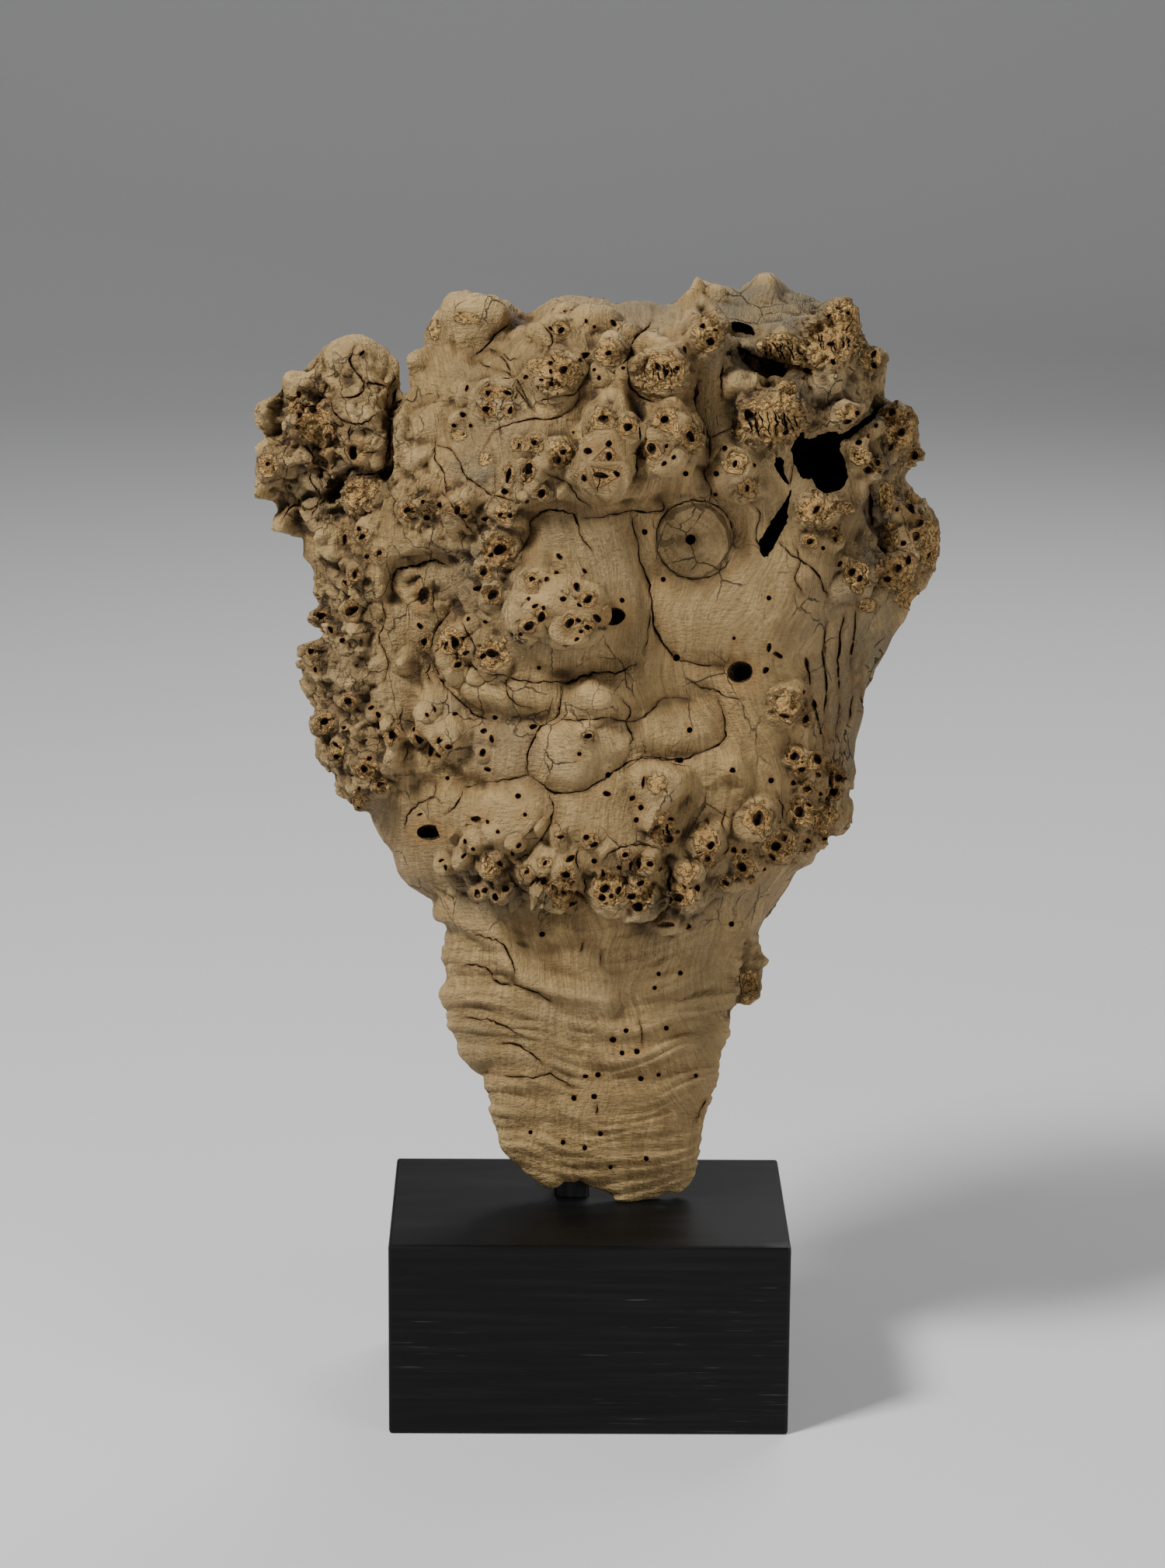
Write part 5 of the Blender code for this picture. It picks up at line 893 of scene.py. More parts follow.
def carveDetail(carving):
    across, down, seen = carving.across, carving.down, carving.seen
    over, along = grainField(across, down)
    height = np.zeros(len(across))
    inNeck = smoothStep(*driftwood["neckTop"], down + 0.05 * (across - 760))
    knobbly = areaShare(knobblyAreas, across, down)
    height += driftwood["rippleHeight"] * inNeck * neckWave(across, down, carving.points) * (
        0.75 + 0.45 * waves(carving.points, 22 * mm, 6))
    flow = np.stack([over * photo["pixel"], along * photo["pixel"] * 0.12, 0 * over], -1)
    height += driftwood["fibreHeight"] * (1 - 0.5 * knobbly) * waves(flow, driftwood["fibreSpacing"], 7)
    height += driftwood["swellHeight"] * (1 - inNeck) * waves(carving.points, driftwood["swellSpacing"], 8)
    rugged = np.flatnonzero((knobbly > 0.02) & (seen > 0.01))
    places = carving.points[rugged]
    bent = places + 0.9 * mm * np.stack([waves(places, 5 * mm, seed) for seed in (31, 32, 33)], -1)
    first, second, worth = cells(bent, driftwood["lumpSpacing"], 3)
    small, nextSmall, smallWorth = cells(bent, driftwood["flakeSpacing"], 4)
    flakes = 1.5 * (worth - 0.5) - 1.5 * np.exp(-((second - first) / 0.11) ** 2) - 0.9 * first
    flakes += 0.25 * (smallWorth - 0.5) - 0.3 * np.exp(-((nextSmall - small) / 0.16) ** 2)
    flakes += 0.8 * waves(places, 7 * mm, 9) + 0.18 * waves(places, 2.4 * mm, 10) + 0.6
    height[rugged] += knobbly[rugged] * driftwood["lumpHeight"] * flakes
    for x, y, halfWidth, halfHeight, rise in lobes:
        near, distance = ovalDistance((x, y, halfWidth, halfHeight), across, down)
        distance = distance + 0.08 * waves(carving.points[near], 12 * mm, 34)
        height[near] += driftwood["lobeScale"] * rise * (1 - smoothStep(0.5, 1.15, distance))
    inwards, belongs = sideStripes(across, down)
    stripes = np.sin(2 * math.pi * inwards / driftwood["stripeSpacing"] + 1.2 * waves(carving.points, 30 * mm, 11))
    height += belongs * driftwood["stripeHeight"] * stripes
    height *= seen
    for row in knotEnds:
        near, distance = ovalDistance(row, across, down)
        size = min(halfSizes(row)) / driftwood["usualKnot"]
        places = carving.points[near]
        distance = unevenEdge(distance, places)
        crumbs = -np.abs(waves(places, 2.3 * mm, 12)) - 0.8 * np.abs(waves(places, 4.2 * mm, 13))
        rings = np.sin(11 * distance + 2.4 * waves(places, 5 * mm, 23))
        end = 1 - smoothStep(0.75, 1.0, distance)
        collar = np.exp(-((distance - 1.08) / 0.13) ** 2)
        groove = np.exp(-((distance - 1.4) / 0.12) ** 2)
        change = driftwood["collarHeight"] * size * collar - 0.22 * size * groove
        change += end * (0.5 * crumbs + 0.14 * rings + 0.5 - driftwood["endDepth"] * size)
        height[near] += change * seen[near]
    for row in pits:
        near, distance = ovalDistance(row, across, down)
        height[near] += 0.10 * row[2] * np.exp(-((distance - 1.3) / 0.55) ** 2) * seen[near]
    for halfWidth, depth, pixels in cracks:
        distance = distanceTo(curved(pixels), across, down, 12)
        height += seen * (0.12 * np.exp(-((distance - 4.5) / 2.6) ** 2) - 0.25 * np.exp(-(distance / 2.0) ** 2))
    behind = 1 - smoothStep(-0.3, 0.1, carving.facing)
    onBack = np.stack([carving.points[:, 0], carving.points[:, 1], carving.points[:, 2] * 0.14], -1)
    furrows = waves(onBack, 9 * mm, 15) * smoothStep(-0.4, 0.8, waves(carving.points, 45 * mm, 18))
    low = driftwood["waveHeight"] * waves(carving.points, 16 * mm, 16)
    height += behind * (driftwood["furrowHeight"] * furrows + low - driftwood["backIn"])
    carving.raiseBy(height)


clearances = {                    # room that the driftwood leaves
    "overBlock": 0.3 * mm,
    "besidePost": 12.7 * mm,      # to either side of its middle
    "overPost": 6 * mm,
    "beforePost": 0.9 * mm,
    "besidePad": 1 * mm,
    "beforePad": 0.1 * mm,
    "insideBox": 0.05 * mm,       # the box of the solid of the same name
}


def keepClear(points, facing):
    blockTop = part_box("block")[1].z
    postLow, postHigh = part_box("post")
    points[:, 2] = np.maximum(points[:, 2], blockTop + clearances["overBlock"])
    byPost = ((np.abs(points[:, 0] - (postLow.x + postHigh.x) / 2) < clearances["besidePost"])
              & (points[:, 2] < postHigh.z + clearances["overPost"]))
    points[byPost, 1] = np.minimum(points[byPost, 1], postLow.y - clearances["beforePost"])
    aside = clearances["besidePad"]
    for arm in ("upper_arm", "lower_arm"):
        low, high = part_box(arm)
        byPad = ((points[:, 0] > low.x - aside) & (points[:, 0] < high.x + aside)
                 & (points[:, 2] > low.z - aside) & (points[:, 2] < high.z + aside) & (facing < 0))
        points[byPad, 1] = np.minimum(points[byPad, 1], low.y - clearances["beforePad"])
    low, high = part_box("driftwood")
    return np.clip(points, np.array(low) + clearances["insideBox"], np.array(high) - clearances["insideBox"])


def addTube(shape, rings):        # rings is rows x sides x 3: closed round, its ends left to be filled
    rows, sides = rings.shape[:2]
    made = bmesh.ops.create_grid(shape, x_segments=sides, y_segments=rows - 1, size=1)["verts"]
    for number, vertex in enumerate(made):
        row, column = divmod(number, sides + 1)
        vertex.co = rings[row, column % sides]


def closedMesh(name, shape):
    bmesh.ops.remove_doubles(shape, verts=shape.verts, dist=2e-6)
    bmesh.ops.holes_fill(shape, edges=[e for e in shape.edges if e.is_boundary], sides=0)
    bmesh.ops.recalc_face_normals(shape, faces=shape.faces)
    bmesh.ops.triangulate(shape, faces=shape.faces)
    mesh = bpy.data.meshes.new(name)
    shape.to_mesh(mesh)
    shape.free()
    return mesh


def holeRings(carving, row, deep, sides, rough):   # rings of one bored hole, or None where no wood is hit
    x, y = row[:2]
    halfWidth, halfHeight = halfSizes(row)
    point, _, reach = carving.hit(x, y)
    if point is None:
        return None
    turns = np.arange(sides) * 2 * math.pi / sides + luck.uniform(0, 1)
    wobble = np.array([1 + 1.3 * rough * luck.uniform(-1, 1) for _ in range(sides)])
    wobble = 0.5 * wobble + 0.25 * np.roll(wobble, 1) + 0.25 * np.roll(wobble, -1)
    stretch, lie = 1 + 1.3 * rough * luck.random(), luck.uniform(0, math.pi)
    longWays, crossWays = np.cos(turns) * stretch, np.sin(turns) / stretch
    lift = (1.2 + 0.16 * halfWidth) * mm
    lean = np.array([luck.uniform(-1, 1), luck.uniform(-1, 1)]) * rough * halfWidth
    rings = []
    for share, depth in ((1.0 + 0.5 * rough, -lift), (0.96, 0.3 * mm), (0.78, 0.55 * deep), (0.4, deep)):
        turnedX = math.cos(lie) * longWays - math.sin(lie) * crossWays
        turnedY = math.sin(lie) * longWays + math.cos(lie) * crossWays
        across = x + lean[0] * max(depth, 0) / deep + turnedX * halfWidth * share * wobble
        down = y + lean[1] * max(depth, 0) / deep + turnedY * halfHeight * share * wobble
        rings.append(placeAt(across, down, reach + depth))
    return np.array(rings)


def jittered(path, pixels):       # each point of the path moved at random by up to that much
    return path + np.array([[luck.uniform(-1, 1), luck.uniform(-1, 1)] for _ in path]) * pixels


def crackRings(carving, halfWidth, depth, pixels):   # rings of one V-shaped split, in runs with no jump in depth
    path = jittered(curved(pixels), driftwood["crackJitter"])
    hits = [carving.hit(*spot) for spot in path]
    runs, run = [], []
    for number, (point, _, reach) in enumerate(hits):
        if run and (point is None or abs(reach - hits[run[-1]][2]) > driftwood["crackJump"]):
            runs.append(run)
            run = []
        if point is not None:
            run.append(number)
    runs.append(run)
    made = []
    for run in runs:
        if len(run) < 4:
            continue
        line = path[run]
        reaches = np.array([hits[number][2] for number in run])
        along = np.gradient(line, axis=0)
        along /= np.maximum(np.linalg.norm(along, axis=1), 1e-6)[:, None]
        sideways = np.stack([-along[:, 1], along[:, 0]], -1)
        share = np.linspace(0, 1, len(run))
        thick = np.clip(np.sin(math.pi * share), 0, 1) ** 0.4 * np.array([luck.uniform(0.4, 1.5) for _ in run])
        thick[0] = thick[-1] = 0
        lift = driftwood["crackLift"]
        flare = (depth * mm + lift) / (depth * mm)
        rings = np.zeros((len(run), 3, 3))
        for column, side in ((0, -1), (2, 1)):
            edge = line + side * (thick * driftwood["crackScale"] * halfWidth * flare)[:, None] * sideways
            rings[:, column] = placeAt(edge[:, 0], edge[:, 1], (reaches - lift)[:, None])
        deep = np.where(thick > 0, depth * mm * (0.5 + 0.5 * thick), -lift)
        rings[:, 1] = placeAt(line[:, 0], line[:, 1], (reaches + deep)[:, None])
        made.append((line, halfWidth * flare + 1.5, rings))
    return made


def pocketRings(floorMm, pixels):  # rings of one deep hollow, wider at its floor
    edge = jittered(curved(pixels + pixels[:1])[:-1], driftwood["pocketJitter"])
    middle = edge.mean(0)
    rings = []
    for inFront, spread in ((60, 1), (floorMm + 16, 1), (floorMm, 1.3)):
        ring = middle + spread * (edge - middle)
        rings.append(place(ring[:, 0], ring[:, 1], inFront * np.ones(len(ring))))
    return np.array(rings)


def allCutters(carving):          # (sample pixels, reach, rings) of everything that is cut out of the wood
    made = []
    for floorMm, pixels in pockets.values():
        samples = curved(pixels + pixels[:1])
        made.append((samples, 4, pocketRings(floorMm, pixels)))
    for rows, deep, sides, rough in ((wideBorings, driftwood["boringDepth"], 20, 0.05),
                                     (beetleHoles, driftwood["beetleDepth"], 10, 0.04)):
        for row in rows:
            rings = holeRings(carving, row, deep, sides, rough)
            made.append((np.array([row[:2]]), 1.15 * row[2], rings))
    for row in pits:
        deep = (1.2 + 0.30 * min(halfSizes(row))) * mm
        rings = holeRings(carving, row, deep, 12, 0.28)
        made.append((np.array([row[:2]]), 1.5 * max(halfSizes(row)), rings))
    for row in cracks:
        made += crackRings(carving, *row)
    for x, y, halfWidth, halfHeight, count, lean in combs:
        for number in range(count):
            share = -1 + 2 * (number + 0.5) / count
            length = halfHeight * math.sqrt(1 - 0.8 * share**2) * luck.uniform(0.7, 1.1)
            at = x + share * halfWidth + luck.uniform(-2, 2)
            tilt, bend = lean * luck.uniform(0.1, 1.2), luck.uniform(-4, 4)
            slit = [(at - tilt, y - length), (at + bend, y), (at + tilt, y + length)]
            made += crackRings(carving, luck.uniform(0.9, 1.8), luck.uniform(1.8, 3.0), slit)
    return [cut for cut in made if cut[2] is not None]


def cutterMeshes(carving):        # as few meshes as hold all the cutters with none touching another of its mesh
    batches = []
    for samples, reach, rings in allCutters(carving):
        rows = np.column_stack([samples, np.full(len(samples), float(reach))])
        for batch in batches:
            taken = batch["rows"]
            gap = np.hypot(taken[:, None, 0] - rows[None, :, 0], taken[:, None, 1] - rows[None, :, 1])
            if (gap > taken[:, None, 2] + rows[None, :, 2] + 2).all():
                batch["rows"] = np.vstack([taken, rows])
                break
        else:
            batch = {"rows": rows, "shape": bmesh.new()}
            batches.append(batch)
        addTube(batch["shape"], rings)
    return [closedMesh(f"cutter{number}", batch["shape"]) for number, batch in enumerate(batches)]


def averaged(values, pairs, count, rounds):   # each point's value drawn towards its neighbours' mean
    degree = np.bincount(pairs.ravel(), minlength=count)
    for _ in range(rounds):
        total = np.stack([np.bincount(pairs[:, 0], values[pairs[:, 1], axis], count)
                          + np.bincount(pairs[:, 1], values[pairs[:, 0], axis], count)
                          for axis in range(values.shape[1])], -1)
        values = 0.5 * values + 0.5 * total / np.maximum(degree, 1)[:, None]
    return values


def addMarks(mesh):               # attributes that the material reads
    count = len(mesh.vertices)
    points = gathered(mesh.vertices, "co", 3)
    normals = gathered(mesh.vertices, "normal", 3)
    pairs = gathered(mesh.edges, "vertices", 2, np.int32)
    across, down = pixelsOf(points)
    facing = averaged(-(normals @ viewAhead)[:, None], pairs, count, 20)[:, 0]
    seen = smoothStep(-0.45, -0.1, facing)
    # how far each point sits in a hollow (above 0) or on a rise (below 0), over a short and a wide reach: the material
    # paints shade into the hollows and light onto the rises
    hollow = ((averaged(points, pairs, count, 8) - points) * normals).sum(1)
    wide = ((averaged(points, pairs, count, 60) - points) * normals).sum(1)
    lengths = np.linalg.norm(points[pairs[:, 0]] - points[pairs[:, 1]], axis=1)
    around = np.bincount(pairs[:, 0], lengths, count) + np.bincount(pairs[:, 1], lengths, count)
    around /= np.maximum(np.bincount(pairs.ravel(), minlength=count), 1)
    around = averaged(around[:, None], pairs, count, 6)[:, 0]
    evened = (driftwood["evenEdge"] / around) ** 2    # long edges reach further, so their hollows count for less
    evened = np.minimum(evened, driftwood["mostEvened"])
    hollow = averaged((hollow * evened)[:, None], pairs, count, 2)[:, 0]
    wide = averaged((wide * evened)[:, None], pairs, count, 12)[:, 0]
    knot, stain, dirtAndShade = np.zeros(count), np.zeros(count), np.zeros(count)
    endRing = np.full(count, driftwood["noRing"])
    for row in knotEnds:
        near, distance = ovalDistance(row, across, down)
        edge = unevenEdge(distance, points[near])
        knot[near] = np.maximum(knot[near], 1 - smoothStep(0.85, 1.1, edge))
        endRing[near] = np.minimum(endRing[near], edge)
    for row in pits + beetleHoles + wideBorings:
        near, distance = ovalDistance(row, across, down)
        stain[near] = np.maximum(stain[near], 1 - smoothStep(0.9, 2.3, distance))
    # painted shade: the wood is darkened along every split
    for halfWidth, depth, pixels in cracks:
        distance = distanceTo(curved(pixels), across, down, 14)
        stain = np.maximum(stain, 0.6 * np.exp(-(distance / (2.6 + halfWidth)) ** 2))
        dirtAndShade = np.maximum(dirtAndShade, 0.5 * np.exp(-(distance / (1.0 + halfWidth)) ** 2))
    # painted shade in the narrow clefts, the darker the deeper the cleft
    for halfWidth, depth, pixels in clefts:
        distance = distanceTo(curved(pixels), across, down, 20)
        dirtAndShade = np.maximum(dirtAndShade, 0.08 * depth * np.exp(-(distance / min(halfWidth, 8)) ** 2) * (halfWidth < 9))
    # the seams between the plates are darkened as dark joints
    for pixels in seams:
        distance = distanceTo(curved(pixels), across, down, 40)
        broken = 0.6 + 0.5 * waves(points, 6 * mm, 38)
        dirtAndShade = np.maximum(dirtAndShade, 0.55 * broken * np.exp(-(distance / 4.5) ** 2))
        stain = np.maximum(stain, 0.5 * broken * np.exp(-(distance / 13) ** 2))
    grey = areaShare(greyAreas, across, down)
    pale = areaShare(paleAreas, across, down)
    knobbly = areaShare(knobblyAreas, across, down)
    over, along = grainField(across, down)
    inNeck = smoothStep(*driftwood["neckTop"], down)
    wave = inNeck * neckWave(across, down, points)
    grain = np.stack([over * photo["pixel"], along * photo["pixel"], 0.3 * points[:, 1]], -1)
    grain = np.where((facing > -0.3)[:, None], grain, points)
    fields = {
        "knotEnd": knot * seen,
        "endRing": np.where(seen > 0.5, endRing, driftwood["noRing"]),   # 1 at a knot's edge
        "stain": stain * seen, "dirtAndShade": dirtAndShade * seen, "greyed": grey * seen, "paled": pale * seen,
        "behind": 1 - seen, "neckWave": wave * seen,
        "checked": (1 - 0.85 * inNeck) * (1 - knot),                     # where hairline splits show
        "rugged": knobbly * seen * (1 - inNeck),
        # the hollows and rises that the material paints as shade and light, less on the knot ends
        "hollow": np.clip(hollow / driftwood["hollowUnit"], -2, 2) * (1 - 0.65 * knot),
        "valley": np.clip(wide / driftwood["valleyUnit"], -2, 2) * (1 - 0.6 * knot),
    }
    for name, values in fields.items():
        mesh.attributes.new(name, "FLOAT", "POINT").data.foreach_set("value", values.astype(np.float32))
    mesh.attributes.new("grain", "FLOAT_VECTOR", "POINT").data.foreach_set("vector", grain.astype(np.float32).ravel())


def clean(mesh):                  # chips that the cuts leave are taken away, and open edges closed
    shape = bmesh.new()
    shape.from_mesh(mesh)
    shape.verts.index_update()
    seen = np.zeros(len(shape.verts), bool)
    chips = []
    for start in shape.verts:
        if seen[start.index]:
            continue
        seen[start.index] = True
        found = [start]
        for vertex in found:      # grows while it is walked
            for edge in vertex.link_edges:
                other = edge.other_vert(vertex)
                if not seen[other.index]:
                    seen[other.index] = True
                    found.append(other)
        if len(found) < driftwood["chipPoints"]:
            chips += found
    print("  chips taken away:", len(chips), "points")
    bmesh.ops.delete(shape, geom=chips, context="VERTS")
    gaps = [edge for edge in shape.edges if edge.is_boundary]
    bmesh.ops.holes_fill(shape, edges=gaps, sides=12)
    bmesh.ops.triangulate(shape, faces=[face for face in shape.faces if len(face.verts) > 3])
    shape.to_mesh(mesh)
    shape.free()
    mesh.validate()


def makeDriftwood(woodMaterial, boreMaterial):
    carving = Carving(plainShell())
    print("  shell:", len(carving.points), "points")
    for heightMm, pixels in neckFolds:
        carving.stroke(driftwood["foldHalfWidth"], driftwood["foldScale"] * heightMm, pixels)
    for halfWidth, depth, pixels in clefts:
        carving.stroke(halfWidth, -depth, pixels)
    for pixels in seams:
        carving.stroke(driftwood["seamHalfWidth"], -driftwood["seamDepth"], pixels)
    carving.read()
    for row in buds:
        carving.bud(*row)
    carving.read()
    carveDetail(carving)
    carving.points = keepClear(carving.points, carving.facing)
    carving.read()
    print("  carved")
    mesh = carving.mesh
    mesh.materials.clear()
    mesh.materials.append(woodMaterial)
    mesh.materials.append(boreMaterial)
    obj = linkNew("driftwoodBurl", mesh)
    fewer = obj.modifiers.new("fewer", "DECIMATE")
    fewer.ratio = driftwood["triangles"] / (2 * len(mesh.polygons))
    fewer.use_collapse_triangulate = True
    tools = []
    for number, cutter in enumerate(cutterMeshes(carving)):
        cutter.materials.append(woodMaterial)
        cutter.materials.append(boreMaterial)
        # the walls that the cutters leave take the bores' painted shade
        cutter.polygons.foreach_set("material_index", np.ones(len(cutter.polygons), np.int32))
        tool = linkNew(f"cutter{number}", cutter)
        cut = obj.modifiers.new(f"cut{number}", "BOOLEAN")
        cut.operation = "DIFFERENCE"
        cut.solver = "MANIFOLD"
        cut.object = tool
        tools.append(tool)
    print("  cutters:", len(tools))
    cutMesh = applied(obj, "driftwoodCut")
    obj.modifiers.clear()
    obj.data = cutMesh
    for tool in tools:
        bpy.data.objects.remove(tool)
    slimmer = obj.modifiers.new("slimmer", "DECIMATE")   # takes out the slivers that the cuts leave
    slimmer.ratio = driftwood["mostTriangles"] / (len(cutMesh.loops) - 2 * len(cutMesh.polygons))
    slimmer.use_collapse_triangulate = True
    made = applied(obj, "driftwoodBurl")
    obj.modifiers.clear()
    clean(made)
    obj.data = made
    made.shade_smooth()
    made.set_sharp_from_angle(angle=math.radians(driftwood["sharpAngle"]))
    addMarks(made)
    print("  driftwood:", len(made.vertices), "points,", len(made.loops) - 2 * len(made.polygons), "triangles")
    return obj


# Materials
def newMaterial(name):
    material = bpy.data.materials.new(name)
    material.use_nodes = True
    tree = material.node_tree
    return material, tree, tree.nodes["Principled BSDF"]


def addNode(tree, kind, inputs=None, **settings):
    node = tree.nodes.new(kind)
    for key, value in settings.items():
        setattr(node, key, value)
    for key, value in (inputs or {}).items():
        if isinstance(value, bpy.types.NodeSocket):
            tree.links.new(value, node.inputs[key])
        else:
            node.inputs[key].default_value = value
    return node


def attribute(tree, name, output="Fac"):
    return addNode(tree, "ShaderNodeAttribute", attribute_name=name).outputs[output]


def scaled(tree, vector, scale):
    return addNode(tree, "ShaderNodeVectorMath", {0: vector, 1: scale}, operation="MULTIPLY").outputs[0]


def noiseOf(tree, vector, scale, detail=3.0, roughness=0.55):
    node = addNode(tree, "ShaderNodeTexNoise", {"Vector": vector, "Scale": scale, "Detail": detail,
                                                "Roughness": roughness})
    return node.outputs["Fac"]


def ranged(tree, value, low, high, newLow=0.0, newHigh=1.0):
    node = addNode(tree, "ShaderNodeMapRange", {"Value": value, "From Min": low, "From Max": high,
                                                "To Min": newLow, "To Max": newHigh})
    return node.outputs["Result"]


def maths(tree, operation, first, second=0.0):
    return addNode(tree, "ShaderNodeMath", {0: first, 1: second}, operation=operation).outputs[0]


def times(tree, first, second):
    return maths(tree, "MULTIPLY", first, second)


def plus(tree, first, second):
    return maths(tree, "ADD", first, second)


def position(tree):
    return addNode(tree, "ShaderNodeTexCoord").outputs["Object"]


def bumped(tree, shader, height, strength, depth):
    bump = addNode(tree, "ShaderNodeBump", {"Height": height, "Strength": strength, "Distance": depth})
    tree.links.new(bump.outputs["Normal"], shader.inputs["Normal"])


def mixed(tree, factor, first, second, how="MIX"):
    node = tree.nodes.new("ShaderNodeMix")
    node.data_type = "RGBA"
    node.blend_type = how
    for key, value in (("Factor", factor), ("A", first), ("B", second)):
        socket = next(s for s in node.inputs if s.name == key and s.enabled)
        if isinstance(value, bpy.types.NodeSocket):
            tree.links.new(value, socket)
        else:
            socket.default_value = value
    return next(s for s in node.outputs if s.enabled)


woodLook = {
    "tanDark": (0.172, 0.107, 0.040, 1),
    "tanLight": (0.405, 0.276, 0.118, 1),
    "olive": (0.190, 0.145, 0.078, 1),
    "pale": (0.440, 0.315, 0.150, 1),
    # painted light on small rises
    "ridge": (0.390, 0.266, 0.115, 1),
    "orange": (0.210, 0.102, 0.026, 1),
    "brown": (0.108, 0.070, 0.030, 1),
    "knotLight": (0.820, 0.520, 0.195, 1),
    "knotDark": (0.160, 0.088, 0.031, 1),
    "knotBrown": (0.500, 0.300, 0.110, 1),
    "grey": (0.150, 0.122, 0.076, 1),
    # multiplied into hollows as painted shade
    "valley": (0.50, 0.44, 0.36, 1),
    # near-black for hairline splits, crevices in the knot ends and dark seams, and as painted shade in splits, clefts
    # and deep hollows
    "dirtAndShade": (0.026, 0.017, 0.009, 1),
    # near-black inside the holes, splits and hollows, as painted shade
    "bore": (0.010, 0.006, 0.003, 1),
    "backDark": (0.120, 0.080, 0.038, 1),
    "backLight": (0.320, 0.225, 0.115, 1),
    "fineGrain": (1500, 110, 300),     # scales across the fibre, along it and in depth
    "mediumGrain": (700, 46, 160),
    "creases": (420, 900, 300),
    "bumpDepth": 1.05 * mm,
    "specular": 0.22,
}


def crackle(tree, here):          # hairline splits, 0.85 on a split and 0 beside it
    bent = addNode(tree, "ShaderNodeTexNoise", {"Vector": here, "Scale": 260.0, "Detail": 2.0}).outputs["Color"]
    moved = scaled(tree, bent, (0.003, 0.003, 0.003))
    spot = addNode(tree, "ShaderNodeVectorMath", {0: here, 1: moved}, operation="ADD").outputs[0]
    split = addNode(tree, "ShaderNodeTexVoronoi", {"Vector": scaled(tree, spot, (1, 1, 0.7)), "Scale": 80.0},
                    feature="DISTANCE_TO_EDGE")
    return ranged(tree, split.outputs["Distance"], 0.006, 0.020, 0.85, 0.0)


